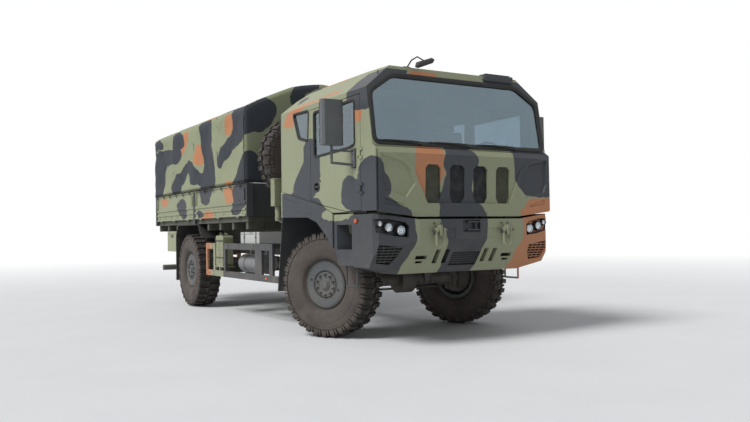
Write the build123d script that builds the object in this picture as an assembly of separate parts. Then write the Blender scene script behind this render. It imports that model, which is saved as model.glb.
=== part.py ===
from build123d import *
import os
from math import cos, radians, sin

# A two-axle forward-control military cargo truck with a covered drop-side body.
# Millimetres. +X points to the front, +Y to the truck's left, +Z up, z = 0 on the ground.
# Sizes below are measured from the front axle; everything is moved by SHIFT_X when written.

# Overall reach from the front axle, which puts the origin under the middle of the truck
FRONT_REACH = 1575.0
REAR_REACH = 6930.0
SHIFT_X = (REAR_REACH - FRONT_REACH) / 2

# Running gear
WHEELBASE = 4830.0
WHEEL_Y = 1022.0
TYRE_R = 625.0
TYRE_WIDTH = 375.0
RIM_R = 254.0
RIM_WIDTH = 254.0
FLANGE_R = 280.0
FLANGE_T = 13.0
DRUM_R = 205.0
DRUM_INNER_Y = 933.0
HUB_R = 150.0
HUB_BACK = 30.0
KINGPIN_Y = 860.0
KNUCKLE_HALF_H = 118.0
STEER_REST = 26.0
STEER_ARM = 190.0
TIE_ROD_DROP = 125.0
TIE_ROD_R = 16.0
AXLE_TUBE_R = 72.0
DIFF_R = 165.0
RUN_GAP = 0.5
SEAT_GAP = 0.3
SWING_GAP = 7.0
BARREL_R = 9.0
BARREL_L = 60.0

# Ladder frame
RAIL_TOP = 1180.0
RAIL_H = 280.0
RAIL_OUT_Y = 430.0
RAIL_FLANGE = 80.0
RAIL_T = 8.0
RAIL_FRONT = 1180.0
RAIL_REAR = -6640.0
CROSS_W = 90.0
ARM_T = 26.0
SPRING_Y = 390.0
SPRING_W = 90.0
EYE_Z = 850.0
EYE_R = 30.0

# Cab
CAB_HALF_W = 1210.0
CAB_FLOOR = 1460.0
CAB_FRONT = 1400.0
CAB_REAR = -890.0
CAB_WALL = 45.0
EAVE_Z = 2775.0
ROOF_EDGE_Y = 865.0
ROOF_Z = 3072.0
GLASS_T = 8.0
GLASS_IN = 12.0
DOOR_T = 50.0
DOOR_HINGE_X = 1150.0
DOOR_REAR_X = -40.0
DOOR_TOP = 2715.0
DOOR_PIN = (DOOR_HINGE_X + SWING_GAP / 2, -CAB_HALF_W - BARREL_R - 0.5)
DOOR_HINGES = (1700.0, 2080.0)

# Front flap and bumper
FLAP_FACE = 1478.0
FLAP_T = 52.0
FLAP_HALF_W = 1186.0
FLAP_TOP = 2127.0
FLAP_BOTTOM = 1392.0
FLAP_CORNER = 1448.0
FLAP_PIN = (CAB_FRONT + 13, FLAP_TOP - 9)
FLAP_HINGES = (-900.0, -300.0, 300.0, 900.0)
SLOT_W = 200.0
SLOT_PITCH = 325.0
SLOT_LOW = 1540.0
SLOT_HIGH = 1957.0
BUMPER_FACE = 1500.0
BUMPER_TOP = 1366.0
BUMPER_CORNER = 1428.0
BUMPER_CREASE = 1145.0
BUMPER_LOW = 777.0
BUMPER_WALL = 45.0
BUMPER_REAR = 972.0
STEP_REAR = 530.0
STEP_LOW = 870.0

# Cargo body
BED_FRONT = -2060.0
BED_REAR = -6730.0
BED_HALF_W = 1200.0
FLOOR_LOW = 1410.0
FLOOR_T = 72.0
BEARER_BASE = 120.0
SILL_TOP = 1506.0
BOARD_LOW = 1490.0
BOARD_TOP = 1958.0
BOARD_IN = 1207.0
BOARD_T = 33.0
BOARD_RIB = 12.0
MID_POST_X = -4380.0
POST_W = 90.0
BOARD_GAP = 6.0
BOARD_PIN = (BOARD_IN + BOARD_T + BARREL_R, BOARD_LOW - 11)
GATE_HINGES = (-900.0, 0.0, 900.0)
GATE_PIN = (BED_REAR - BOARD_GAP - BOARD_T - BARREL_R, BOARD_PIN[1])
HEM_Z = 1965.0
TARP_OUT = 1262.0
TARP_T = 12.0
TARP_FRONT = -2035.0
TARP_REAR = -6745.0
RIDGE_Z = 3475.0

# Spare wheel behind the cab
SPARE_X = -1360.0
SPARE_Y = -660.0
SPARE_Z = 2250.0


def slab(points, axis, low, high):
    """Extrude a polygon along x, y or z from low to high; points use the other two axes."""
    place = {
        "x": lambda a, b: (low, a, b),
        "y": lambda a, b: (a, low, b),
        "z": lambda a, b: (a, b, low),
    }[axis]
    way = {"x": (1, 0, 0), "y": (0, 1, 0), "z": (0, 0, 1)}[axis]
    face = Face(Wire.make_polygon([place(a, b) for a, b in points]))
    return extrude(face, amount=high - low, dir=way)


def block(x, y, z):
    """Box from three (low, high) pairs."""
    size = [high - low for low, high in (x, y, z)]
    centre = [(high + low) / 2 for low, high in (x, y, z)]
    return Pos(*centre) * Box(*size)


def rod(start, end, radius):
    """Round bar between two points."""
    way = Vector(*end) - Vector(*start)
    plane = Plane(origin=start, z_dir=way)
    return plane * Pos(0, 0, way.length / 2) * Cylinder(radius, way.length)


def beam(start, end, wide, deep):
    """Square bar between two points, wide across the truck or along it, deep the other way."""
    way = Vector(*end) - Vector(*start)
    side = Vector(0, 1, 0) if abs(way.Y) < 0.9 * way.length else Vector(1, 0, 0)
    across = side - way * (side.dot(way) / way.length**2)
    plane = Plane(origin=start, x_dir=across, z_dir=way)
    return plane * Pos(0, 0, way.length / 2) * Box(wide, deep, way.length)


def fuse(parts):
    """Join a list of solids into one shape."""
    first, *rest = parts
    return first.fuse(*rest) if rest else first


def both_sides(part):
    """A right-hand piece and its mirror image on the left."""
    return [part, mirror(part, about=Plane.XZ)]


def save(name, parts):
    """Write one node, moved so that the origin is under the middle of the truck."""
    solids = [solid for part in parts for solid in part.solids()]
    os.makedirs("parts", exist_ok=True)
    export_step(Pos(SHIFT_X, 0, 0) * Compound(solids), f"parts/{name}.step")


def barrels(axis, pin, middle, which):
    """Knuckles of one hinge on a pin: "leaf" is the middle barrel, "seat" the two beside it."""
    half = BARREL_L / 2
    spans = [(middle - half, middle + half)]
    if which == "seat":
        outer = half + SEAT_GAP
        spans = [(middle - outer - half, middle - outer), (middle + outer, middle + outer + half)]
    a, b = pin
    place = {
        "x": lambda t: (t, a, b),
        "y": lambda t: (a, t, b),
        "z": lambda t: (a, b, t),
    }[axis]
    return [(low, high, rod(place(low), place(high), BARREL_R)) for low, high in spans]


# Wheels: outlines are (offset outboard from the wheel's middle, radius)

def tyre_outline():
    half = TYRE_WIDTH / 2
    bead = RIM_WIDTH / 2 - FLANGE_T / 2 - RUN_GAP
    return [
        (-bead, RIM_R + RUN_GAP),
        (bead, RIM_R + RUN_GAP),
        (bead, FLANGE_R + 12),
        (half - 18, 345),
        (half, 430),
        (half - 6, 520),
        (half - 22, 575),
        (half - 40, TYRE_R - 12),
        (half - 75, TYRE_R),
        (-half + 75, TYRE_R),
        (-half + 40, TYRE_R - 12),
        (-half + 22, 575),
        (-half + 6, 520),
        (-half, 430),
        (-half + 18, 345),
        (-bead, FLANGE_R + 12),
    ]


def rim_outline(drum_in=None):
    """Barrel, dished disc, hub and, where drum_in is given, the brake drum inside."""
    half = RIM_WIDTH / 2 - FLANGE_T / 2
    inner = RIM_R - 12
    disc_in = half - 48
    disc_out = half - 22
    barrel = [
        (disc_in, inner),
        (-half - FLANGE_T, inner),
        (-half - FLANGE_T, FLANGE_R),
        (-half, FLANGE_R),
        (-half, RIM_R),
        (half, RIM_R),
        (half, FLANGE_R),
        (half + FLANGE_T, FLANGE_R),
        (half + FLANGE_T, FLANGE_R - 22),
        (disc_out, inner),
    ]
    centre = [
        (disc_out, HUB_R + 18),
        (disc_out - 14, HUB_R + 12),
        (disc_out - 14, HUB_R),
        (disc_out - 4, HUB_R - 6),
        (disc_out - 4, 70),
        (disc_out + 14, 60),
        (disc_out + 14, 0),
    ]
    if drum_in is None:
        return barrel + centre + [(disc_in - HUB_BACK, 0), (disc_in - HUB_BACK, HUB_R), (disc_in, HUB_R)]
    drum = [
        (drum_in, 0),
        (drum_in, DRUM_R),
        (drum_in + 92, DRUM_R),
        (drum_in + 92, HUB_R),
        (disc_in, HUB_R),
    ]
    return barrel + centre + drum


def wheel_solid(points, x, side, steer=0.0):
    """Turn an outline about y and set it at a wheel: side -1 is right, 1 is left."""
    face = Face(Wire.make_polygon([(0, offset, radius) for offset, radius in points]))
    solid = revolve(face, axis=Axis.Y, revolution_arc=360)
    if side < 0:
        solid = mirror(solid, about=Plane.XZ)
    solid = Pos(x, side * WHEEL_Y, TYRE_R) * solid
    return steered(solid, side, steer)


def steered(solid, side, angle):
    """Turn a front piece about its kingpin."""
    if angle == 0:
        return solid
    return solid.rotate(Axis((0, side * KINGPIN_Y, 0), (0, 0, 1)), angle)


WHEELS = [
    # name, x, side, steering angle at rest
    ("front_right", 0.0, -1, STEER_REST),
    ("front_left", 0.0, 1, STEER_REST),
    ("rear_right", -WHEELBASE, -1, 0.0),
    ("rear_left", -WHEELBASE, 1, 0.0),
]


def wheels():
    for name, x, side, steer in WHEELS:
        save(f"tyre_{name}", [wheel_solid(tyre_outline(), x, side, steer)])
        rim = rim_outline(DRUM_INNER_Y - WHEEL_Y)
        save(f"rim_{name}", [wheel_solid(rim, x, side, steer)])


def spare_wheel():
    """The spare stands across the truck, its outer face to the front."""
    place = Pos(SPARE_X, SPARE_Y, SPARE_Z) * Rot(0, 0, -90)
    for name, outline in (("spare_tyre", tyre_outline()), ("spare_rim", rim_outline())):
        face = Face(Wire.make_polygon([(0, offset, radius) for offset, radius in outline]))
        save(name, [place * revolve(face, axis=Axis.Y, revolution_arc=360)])


def spare_carrier():
    """Two posts on the frame, a cross bar and the plate that the spare bolts to."""
    back = SPARE_X - RIM_WIDTH / 2 - FLANGE_T / 2 - 60
    post_y = RAIL_OUT_Y - RAIL_FLANGE / 2
    parts = []
    for y in (-post_y, post_y):
        parts.append(block((back - 60, back), (y - 40, y + 40), (RAIL_TOP, SPARE_Z + 60)))
        parts.append(beam((back - 30, y, RAIL_TOP + 400), (back - 320, y, RAIL_TOP + 50), 60, 50))
        parts.append(block((back - 360, back), (y - 40, y + 40), (RAIL_TOP, RAIL_TOP + 20)))
    parts.append(block((back - 60, back), (SPARE_Y - 160, post_y + 40), (SPARE_Z - 60, SPARE_Z + 60)))
    parts.append(block((back - 60, back), (SPARE_Y - 40, SPARE_Y + 40), (SPARE_Z - 260, SPARE_Z + 160)))
    plug = SPARE_X + RIM_WIDTH / 2 - FLANGE_T / 2 - 48 - HUB_BACK - SEAT_GAP
    parts.append(rod((back - 30, SPARE_Y, SPARE_Z), (plug, SPARE_Y, SPARE_Z), 110))
    save("spare_carrier", [fuse(parts)])


# Axles, springs and steering

def front_axle():
    parts = [rod((0, -KINGPIN_Y + 90, TYRE_R), (0, KINGPIN_Y - 90, TYRE_R), AXLE_TUBE_R)]
    parts.append(rod((0, -40, TYRE_R), (0, 160, TYRE_R), DIFF_R))
    parts.append(rod((-190, 60, TYRE_R), (-100, 60, TYRE_R), 70))
    for side in (-1, 1):
        y = side * KINGPIN_Y
        inner = y - side * 100
        low, high = sorted((inner, inner + side * 30))
        parts.append(block((-60, 60), (low, high), (TYRE_R - 155, TYRE_R + 155)))
        for sign in (-1, 1):
            arm_z = TYRE_R + sign * (KNUCKLE_HALF_H + RUN_GAP + 17)
            low, high = sorted((inner, y))
            parts.append(block((-50, 50), (low, high), (arm_z - 17, arm_z + 17)))
            parts.append(Pos(0, y, arm_z) * Cylinder(50, 34))
    for y in (-SPRING_Y, SPRING_Y):
        parts.append(block((-80, 80), (y - 45, y + 45), (TYRE_R - 20, SPRING_SEAT_Z)))
    save("front_axle", [fuse(parts)])


def rear_axle():
    x = -WHEELBASE
    face_y = DRUM_INNER_Y - RUN_GAP
    parts = [rod((x, -face_y, TYRE_R), (x, face_y, TYRE_R), AXLE_TUBE_R + 6)]
    parts.append(rod((x, -110, TYRE_R), (x, 110, TYRE_R), DIFF_R + 25))
    parts.append(rod((x + 120, 0, TYRE_R), (x + 260, 0, TYRE_R), 80))
    for side in (-1, 1):
        parts.append(rod((x, side * (face_y - 10), TYRE_R), (x, side * face_y, TYRE_R), DRUM_R - 8))
        parts.append(
            block(
                (x - 90, x + 90),
                (side * SPRING_Y - 45, side * SPRING_Y + 45),
                (TYRE_R - 20, SPRING_SEAT_Z),
            )
        )
    save("rear_axle", [fuse(parts)])


SPRING_SEAT_Z = TYRE_R + AXLE_TUBE_R + 15

SPRINGS = [
    # axle x, half length, thickness at the middle
    (0.0, 760.0, 84.0),
    (-WHEELBASE, 820.0, 96.0),
]


def leaf_spring(x, half, thick, y):
    """A stack of tapering leaves, each shorter than the one above, with rolled eyes."""
    leaves = 4
    leaf_t = thick / leaves
    parts = []
    for n in range(leaves):
        reach = half * (1 - 0.2 * n)
        top = SPRING_SEAT_Z + thick - n * leaf_t
        lift = (EYE_Z - EYE_R + 6 - top) * (reach / half) ** 2
        flat = 100.0
        outline = [
            (x - reach, top + lift),
            (x - flat, top),
            (x + flat, top),
            (x + reach, top + lift),
            (x + reach, top + lift - leaf_t),
            (x + flat, top - leaf_t),
            (x - flat, top - leaf_t),
            (x - reach, top + lift - leaf_t),
        ]
        parts.append(slab(outline, "y", y - SPRING_W / 2, y + SPRING_W / 2))
    for end in (-half, half):
        low = (x + end, y - SPRING_W / 2, EYE_Z)
        parts.append(rod(low, (x + end, y + SPRING_W / 2, EYE_Z), EYE_R))
    return fuse(parts)


def leaf_springs():
    springs = [
        leaf_spring(x, half, thick, y)
        for x, half, thick in SPRINGS
        for y in (-SPRING_Y, SPRING_Y)
    ]
    save("leaf_springs", springs)


def knuckle(side):
    """Kingpin housing, stub axle, backing plate and steering arm of one front wheel."""
    y = side * KINGPIN_Y
    plate_y = side * (DRUM_INNER_Y - RUN_GAP)
    parts = [
        rod((0, y, TYRE_R - KNUCKLE_HALF_H), (0, y, TYRE_R + KNUCKLE_HALF_H), 44),
        rod((0, y, TYRE_R), (0, plate_y, TYRE_R), 60),
        rod((0, plate_y - side * 8, TYRE_R), (0, plate_y, TYRE_R), DRUM_R - 8),
    ]
    arm_z = TYRE_R - TIE_ROD_DROP + ARM_T / 2 + TIE_ROD_R + RUN_GAP
    parts.append(block((-STEER_ARM, 0), (y - 20, y + 20), (arm_z - ARM_T / 2, arm_z + ARM_T / 2)))
    parts.append(Pos(-STEER_ARM, y, arm_z) * Cylinder(24, ARM_T))
    return steered(fuse(parts), side, STEER_REST)


def steering():
    save("knuckle_right", [knuckle(-1)])
    save("knuckle_left", [knuckle(1)])
    back = STEER_ARM * cos(radians(STEER_REST))
    shift = -STEER_ARM * sin(radians(STEER_REST))
    z = TYRE_R - TIE_ROD_DROP
    ends = [(-back, side * KINGPIN_Y + shift, z) for side in (-1, 1)]
    parts = [rod(ends[0], ends[1], TIE_ROD_R - 2)]
    for end in ends:
        parts.append(Pos(*end) * Cylinder(22, 2 * TIE_ROD_R))
    save("tie_rod", [fuse(parts)])


# Frame and drive line

CROSSMEMBERS = [
    # x, z low, z high
    (1080.0, 965.0, 1115.0),
    (-1000.0, 908.0, 968.0),
    (-1900.0, 908.0, 968.0),
    (-2900.0, 965.0, 1115.0),
    (-3800.0, 965.0, 1115.0),
    (-5750.0, 965.0, 1115.0),
]


def chassis_frame():
    web_in = RAIL_OUT_Y - RAIL_T
    low = RAIL_TOP - RAIL_H
    parts = []
    for side in (-1, 1):
        section = [
            (side * RAIL_OUT_Y, low),
            (side * RAIL_OUT_Y, RAIL_TOP),
            (side * (RAIL_OUT_Y - RAIL_FLANGE), RAIL_TOP),
            (side * (RAIL_OUT_Y - RAIL_FLANGE), RAIL_TOP - RAIL_T),
            (side * web_in, RAIL_TOP - RAIL_T),
            (side * web_in, low + RAIL_T),
            (side * (RAIL_OUT_Y - RAIL_FLANGE), low + RAIL_T),
            (side * (RAIL_OUT_Y - RAIL_FLANGE), low),
        ]
        parts.append(slab(section, "x", RAIL_REAR, RAIL_FRONT))
    for x, bottom, top in CROSSMEMBERS:
        parts.append(block((x - CROSS_W / 2, x + CROSS_W / 2), (-web_in, web_in), (bottom, top)))
    for side in (-1, 1):
        front = sorted((side * (RAIL_OUT_Y - RAIL_FLANGE), side * RAIL_OUT_Y))
        rear = sorted((side * RAIL_OUT_Y, side * (RAIL_OUT_Y + 90)))
        parts.append(block((1000, 1080), front, (RAIL_TOP, CAB_FLOOR - SEAT_GAP)))
        parts.append(block((CAB_REAR + 20, CAB_REAR + 100), rear, (RAIL_TOP - 100, CAB_FLOOR - SEAT_GAP)))
    parts.append(block((RAIL_REAR - 40, RAIL_REAR), (-RAIL_OUT_Y, RAIL_OUT_Y), (low - 90, RAIL_TOP)))
    cheek_in = SPRING_Y - SPRING_W / 2 - SEAT_GAP
    cheek_out = SPRING_Y + SPRING_W / 2 + SEAT_GAP
    for axle_x, half, _ in SPRINGS:
        for end in (-half, half):
            x = axle_x + end
            for side in (-1, 1):
                for y in (cheek_in - 8, cheek_out):
                    a, b = sorted((side * y, side * (y + 8)))
                    parts.append(block((x - 45, x + 45), (a, b), (EYE_Z - 38, low + 30)))
                a, b = sorted((side * (cheek_in - 8), side * (cheek_out + 8)))
                parts.append(block((x - 45, x + 45), (a, b), (EYE_Z + EYE_R + SEAT_GAP, low)))
    save("chassis_frame", [fuse(parts)])


ENGINE = ((-600.0, 620.0), (-345.0, 345.0), (930.0, 1600.0))


def engine_and_radiator():
    low, high = ENGINE[2]
    x0, x1 = ENGINE[0]
    y0, y1 = ENGINE[1]
    parts = [block((x0, x1), (y0, y1), (low + 120, high))]
    parts.append(block((x0 + 100, x1 - 100), (-200, 200), (low, low + 120)))
    for y in (y0, y1):
        side = -1 if y < 0 else 1
        outer = side * (RAIL_OUT_Y - RAIL_T)
        a, b = sorted((y, outer))
        parts.append(block((-60, 60), (a, b), (low + 130, low + 190)))
    save("engine_block", [fuse(parts)])
    core = block((880, 950), (-340, 340), (980, 1435))
    feet = [
        block((890, 940), sorted((side * 340, side * (RAIL_OUT_Y - RAIL_T))), (1000, 1060))
        for side in (-1, 1)
    ]
    save("radiator", [fuse([core] + feet)])


GEARBOX_END = -1550.0
TRANSFER_X = -2400.0
TRANSFER_Z = 830.0


def driveline():
    """Gearbox behind the engine, transfer case between the rails and the three shafts."""
    x0 = ENGINE[0][0]
    gearbox = slab(
        [(-330, 1330), (330, 1330), (330, 1000), (220, 940), (-220, 940), (-330, 1000)],
        "x", x0 - 220, x0,
    )
    tail = rod((x0 - 220, 0, 1095), (GEARBOX_END, 0, 1095), 120)
    transfer = fuse([
        block((TRANSFER_X - 130, TRANSFER_X + 130), (-240, 240), (940, 1150)),
        block((TRANSFER_X - 110, TRANSFER_X + 110), (-150, 210), (TRANSFER_Z - 120, 940)),
    ])
    hangers = [
        block((TRANSFER_X - 60, TRANSFER_X + 60), sorted((s * 240, s * (RAIL_OUT_Y - RAIL_T))), (1040, 1100))
        for s in (-1, 1)
    ]
    mounts = [
        block((-1480, -1400), sorted((s * 100, s * (RAIL_OUT_Y - RAIL_T))), (1060, 1120))
        for s in (-1, 1)
    ]
    box = fuse([gearbox, tail] + mounts)
    case = fuse([transfer] + hangers)
    shafts = [
        # start, end, radius
        ((GEARBOX_END, 0, 1095), (TRANSFER_X + 130, 0, 1060), 45),
        ((TRANSFER_X + 110, 60, TRANSFER_Z), (-190, 60, TYRE_R), 45),
        ((TRANSFER_X - 110, 0, TRANSFER_Z), (-WHEELBASE + 260, 0, TYRE_R), 50),
    ]
    made = [box, case]
    for start, end, radius in shafts:
        way = (Vector(*end) - Vector(*start)).normalized()
        a = Vector(*start) + way * 14
        b = Vector(*end) - way * 14
        made.append(rod(tuple(a), tuple(b), radius))
    return save("driveline", made)


# Cab

CAB_SIDE = [
    (CAB_FRONT, CAB_FLOOR),
    (CAB_FRONT, 2150.0),
    (1248.0, 3035.0),
    (500.0, ROOF_Z - 2),
    (-620.0, ROOF_Z),
    (-850.0, 2950.0),
    (CAB_REAR, 2800.0),
    (CAB_REAR, CAB_FLOOR),
]

CAB_SECTION = [
    (-CAB_HALF_W, CAB_FLOOR),
    (-CAB_HALF_W, EAVE_Z),
    (-ROOF_EDGE_Y, 3058.0),
    (-ROOF_EDGE_Y + 60, ROOF_Z + 5),
    (ROOF_EDGE_Y - 60, ROOF_Z + 5),
    (ROOF_EDGE_Y, 3058.0),
    (CAB_HALF_W, EAVE_Z),
    (CAB_HALF_W, CAB_FLOOR),
]

WINDSCREEN = [
    (-1165.0, 2190.0),
    (-1160.0, 2722.0),
    (-867.0, 2919.0),
    (867.0, 2919.0),
    (1160.0, 2722.0),
    (1165.0, 2190.0),
]

QUARTER_WINDOW = [(-506.0, 2712.0), (-90.0, 2702.0), (-117.0, 2353.0), (-367.0, 2412.0)]

DOOR = [
    (DOOR_REAR_X, 1628.0),
    (DOOR_REAR_X, DOOR_TOP - 10),
    (DOOR_HINGE_X, DOOR_TOP),
    (DOOR_HINGE_X, 1470.0),
    (810.0, 1470.0),
    (244.0, 1560.0),
]

DOOR_WINDOW = [(60.0, 2140.0), (60.0, 2660.0), (1020.0, 2665.0), (1020.0, 2190.0), (900.0, 2170.0)]

FENDER = [
    (-875.0, 1765.0),
    (-139.0, 1620.0),
    (244.0, 1548.0),
    (523.0, 1440.0),
    (523.0, 1062.0),
    (379.0, 1187.0),
    (120.0, 1360.0),
    (-112.0, 1420.0),
    (-875.0, 1436.0),
]


def inset(points, amount, axis):
    """A polygon's face moved in (negative) or out by an amount, as a long prism."""
    face = Face(Wire.make_polygon([(a, b, 0) for a, b in points]))
    if amount:
        face = offset(face, amount=amount, kind=Kind.INTERSECTION).faces()[0]
    prism = extrude(face, amount=8000, dir=(0, 0, 1))
    if axis == "y":
        return Pos(0, 4000, 0) * Rot(90, 0, 0) * prism
    return Pos(-4000, 0, 0) * Rot(0, 0, 90) * Rot(90, 0, 0) * prism


def cab_block(amount):
    return inset(CAB_SIDE, -amount, "y") & inset(CAB_SECTION, -amount, "x")


def side_cut(points, amount, inner, outer=2000.0):
    """The right-hand prism through a side wall, the outline grown by an amount."""
    return inset(points, amount, "y") & block((-3000, 3000), (-outer, -inner), (0, 4000))


TUNNEL_HALF_W = 400.0
TUNNEL_TOP = 1680.0
TUNNEL_FRONT = 700.0


def cab_shell():
    shell = cab_block(0) - cab_block(CAB_WALL)
    for points, amount in ((DOOR, SWING_GAP), (QUARTER_WINDOW, 0.0), (FENDER, 3.0)):
        right = side_cut(points, amount, CAB_HALF_W - 80)
        shell = shell - right - mirror(right, about=Plane.XZ)
    shell = shell - slab(WINDSCREEN, "x", 1150, 1700)
    tunnel_in = block(
        (CAB_REAR - 10, TUNNEL_FRONT), (-TUNNEL_HALF_W, TUNNEL_HALF_W), (CAB_FLOOR - 50, TUNNEL_TOP)
    )
    wall = 30.0
    tunnel_out = block(
        (CAB_REAR + 20, TUNNEL_FRONT + wall),
        (-TUNNEL_HALF_W - wall, TUNNEL_HALF_W + wall),
        (CAB_FLOOR + 20, TUNNEL_TOP + wall),
    )
    shell = (shell + tunnel_out) - tunnel_in
    lip_out = CAB_HALF_W - DOOR_T - SEAT_GAP
    lip = side_cut(DOOR, SWING_GAP + 20, lip_out - 16, lip_out) - side_cut(DOOR, -18, lip_out - 30)
    shell = shell + lip + mirror(lip, about=Plane.XZ)
    flap_back = FLAP_FACE - FLAP_T - SEAT_GAP
    for low, high in ((1500, 1530), (2062, 2100)):
        shell = shell + block((CAB_FRONT - 5, flap_back), (-1120, 1120), (low, high))
    for z in DOOR_HINGES:
        for low, high, barrel in barrels("z", DOOR_PIN, z, "seat"):
            strap = block((DOOR_PIN[0], DOOR_PIN[0] + 46), (DOOR_PIN[1] - 4, -CAB_HALF_W), (low, high))
            knuckle_part = strap + barrel
            shell = shell + knuckle_part + mirror(knuckle_part, about=Plane.XZ)
    for y in FLAP_HINGES:
        for low, high, barrel in barrels("y", FLAP_PIN, y, "seat"):
            strap = block((CAB_FRONT - 5, FLAP_PIN[0]), (low, high), (FLAP_PIN[1] - 6, FLAP_PIN[1] + 6))
            shell = shell + strap + barrel
    corner = [
        (CAB_FRONT - 30, CAB_FLOOR),
        (FLAP_FACE - 14, CAB_FLOOR),
        (FLAP_FACE - 14, FLAP_TOP - 20),
        (CAB_FRONT + 10, FLAP_TOP + 20),
        (CAB_FRONT - 30, FLAP_TOP + 20),
    ]
    for side in (-1, 1):
        low, high = sorted((side * (FLAP_HALF_W + SWING_GAP), side * CAB_HALF_W))
        shell = shell + slab(corner, "y", low, high)
    save("cab_shell", [shell])


def glazing():
    sheet = cab_block(GLASS_IN) - cab_block(GLASS_IN + GLASS_T)
    screen = sheet & inset(WINDSCREEN, -SEAT_GAP, "x") & block((1150, 1700), (-1300, 1300), (2000, 3000))
    save("windscreen", [screen])
    right = sheet & side_cut(QUARTER_WINDOW, -SEAT_GAP, CAB_HALF_W - 80)
    save("cab_side_glass", both_sides(right))


def doors():
    """Each door is one panel as thick as the wall, with its window let in from outside."""
    panel = side_cut(DOOR, 0.0, CAB_HALF_W - DOOR_T, CAB_HALF_W)
    panel = panel - side_cut(DOOR_WINDOW, 0.0, CAB_HALF_W - 200)
    pocket = block((60, 175), (-CAB_HALF_W - 1, -CAB_HALF_W + 22), (1735, 1820))
    panel = panel - pocket
    handle = block((66, 169), (-CAB_HALF_W + 0.0, -CAB_HALF_W + 23), (1768, 1788))
    panel = panel + handle
    glass = side_cut(DOOR_WINDOW, -SEAT_GAP, CAB_HALF_W - GLASS_IN - GLASS_T, CAB_HALF_W - GLASS_IN)
    for z in DOOR_HINGES:
        for low, high, barrel in barrels("z", DOOR_PIN, z, "leaf"):
            strap = block((DOOR_PIN[0] - 70, DOOR_PIN[0]), (DOOR_PIN[1] - 4, -CAB_HALF_W), (low, high))
            panel = panel + strap + barrel
    for name, part in (("door", panel), ("door_glass", glass)):
        right, left = both_sides(part)
        save(f"{name}_right", [right])
        save(f"{name}_left", [left])


MIRROR = ((920.0, 1020.0), (-1585.0, -1333.0), (2170.0, 2660.0))


def mirrors():
    """Tall mirror head on a tube that leaves the door below its window's front corner."""
    head = block(*MIRROR)
    head = chamfer(head.edges().filter_by(Axis.Z), 22)
    stem_x = 965.0
    stem_y = -1460.0
    foot = block((985, 1060), (-CAB_HALF_W - 22, -CAB_HALF_W), (1940, 2140))
    path = [
        (stem_x, stem_y, MIRROR[2][0] + 5),
        (stem_x, stem_y, 1985),
        (1010, -CAB_HALF_W - 10, 1965),
    ]
    tubes = [rod(path[0], path[1], 14), rod(path[1], path[2], 14), Pos(*path[1]) * Sphere(14)]
    tubes.append(rod((stem_x, stem_y, 2120), (1010, -CAB_HALF_W - 10, 2110), 10))
    right, left = both_sides(fuse([head, foot] + tubes))
    save("mirror_right", [right])
    save("mirror_left", [left])


def front_flap():
    outline = [
        (-FLAP_HALF_W, FLAP_CORNER),
        (-FLAP_HALF_W, FLAP_TOP),
        (FLAP_HALF_W, FLAP_TOP),
        (FLAP_HALF_W, FLAP_CORNER),
        (716, FLAP_BOTTOM),
        (-716, FLAP_BOTTOM),
    ]
    flap = slab(outline, "x", FLAP_FACE - FLAP_T, FLAP_FACE)
    flap = flap - slab(
        [(FLAP_FACE - 34, FLAP_TOP + 1), (FLAP_FACE + 1, FLAP_TOP + 1), (FLAP_FACE + 1, FLAP_TOP - 66)],
        "y", -1300, 1300,
    )
    corner = 38.0
    for n in (-1.5, -0.5, 0.5, 1.5):
        y = n * SLOT_PITCH
        a, b = y - SLOT_W / 2, y + SLOT_W / 2
        eight = [
            (a + corner, SLOT_LOW), (b - corner, SLOT_LOW), (b, SLOT_LOW + 1.6 * corner),
            (b, SLOT_HIGH - corner), (b - corner, SLOT_HIGH), (a + corner, SLOT_HIGH),
            (a, SLOT_HIGH - corner), (a, SLOT_LOW + 1.6 * corner),
        ]
        flap = flap - slab(eight, "x", FLAP_FACE - 26, FLAP_FACE + 1)
    for y in FLAP_HINGES:
        for low, high, barrel in barrels("y", FLAP_PIN, y, "leaf"):
            strap = block(
                (FLAP_PIN[0], FLAP_FACE - FLAP_T + 2), (low, high), (FLAP_PIN[1] - 6, FLAP_PIN[1] + 6)
            )
            flap = flap + strap + barrel
    save("front_flap", [flap])


STEER_WHEEL = (885.0, 650.0, 2106.0)
STEER_WHEEL_R = 235.0
STEER_TILT = 51.3
BOSS_H = 44.0


def dashboard_and_wheel():
    profile = [
        (CAB_FRONT - CAB_WALL, 1700.0),
        (CAB_FRONT - CAB_WALL, 2120.0),
        (1250.0, 2130.0),
        (1010.0, 2060.0),
        (960.0, 1900.0),
        (1120.0, 1700.0),
    ]
    dash = slab(profile, "y", -CAB_HALF_W + CAB_WALL + 60, CAB_HALF_W - CAB_WALL - 60)
    tilt = radians(STEER_TILT)
    way = Vector(-sin(tilt), 0, cos(tilt))
    middle = Vector(*STEER_WHEEL)
    face = middle - way * (BOSS_H / 2 + SEAT_GAP)
    column = rod(tuple(face - way * 220), tuple(face), 28)
    place = Pos(*STEER_WHEEL) * Rot(0, -STEER_TILT, 0)
    rim = place * Torus(STEER_WHEEL_R, 14)
    spokes = [
        place * Rot(0, 0, angle) * Pos(STEER_WHEEL_R / 2, 0, 0) * Box(STEER_WHEEL_R, 34, 14)
        for angle in (90, 210, 330)
    ]
    boss = place * Cylinder(52, BOSS_H)
    save("dashboard", [fuse([dash, column])])
    save("steering_wheel", [fuse([rim, boss] + spokes)])


def seats():
    made = []
    for y in (-780.0, 780.0):
        cushion = block((150, 640), (y - 240, y + 240), (1850, 1980))
        back = beam((170, y, 1900), (20, y, 2560), 460, 110)
        head = beam((14, y, 2540), (-20, y, 2760), 260, 90)
        base = block((200, 590), (y - 200, y + 200), (CAB_FLOOR + CAB_WALL, 1850))
        made.append(fuse([cushion, back, head, base]))
    save("seats", made)


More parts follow.
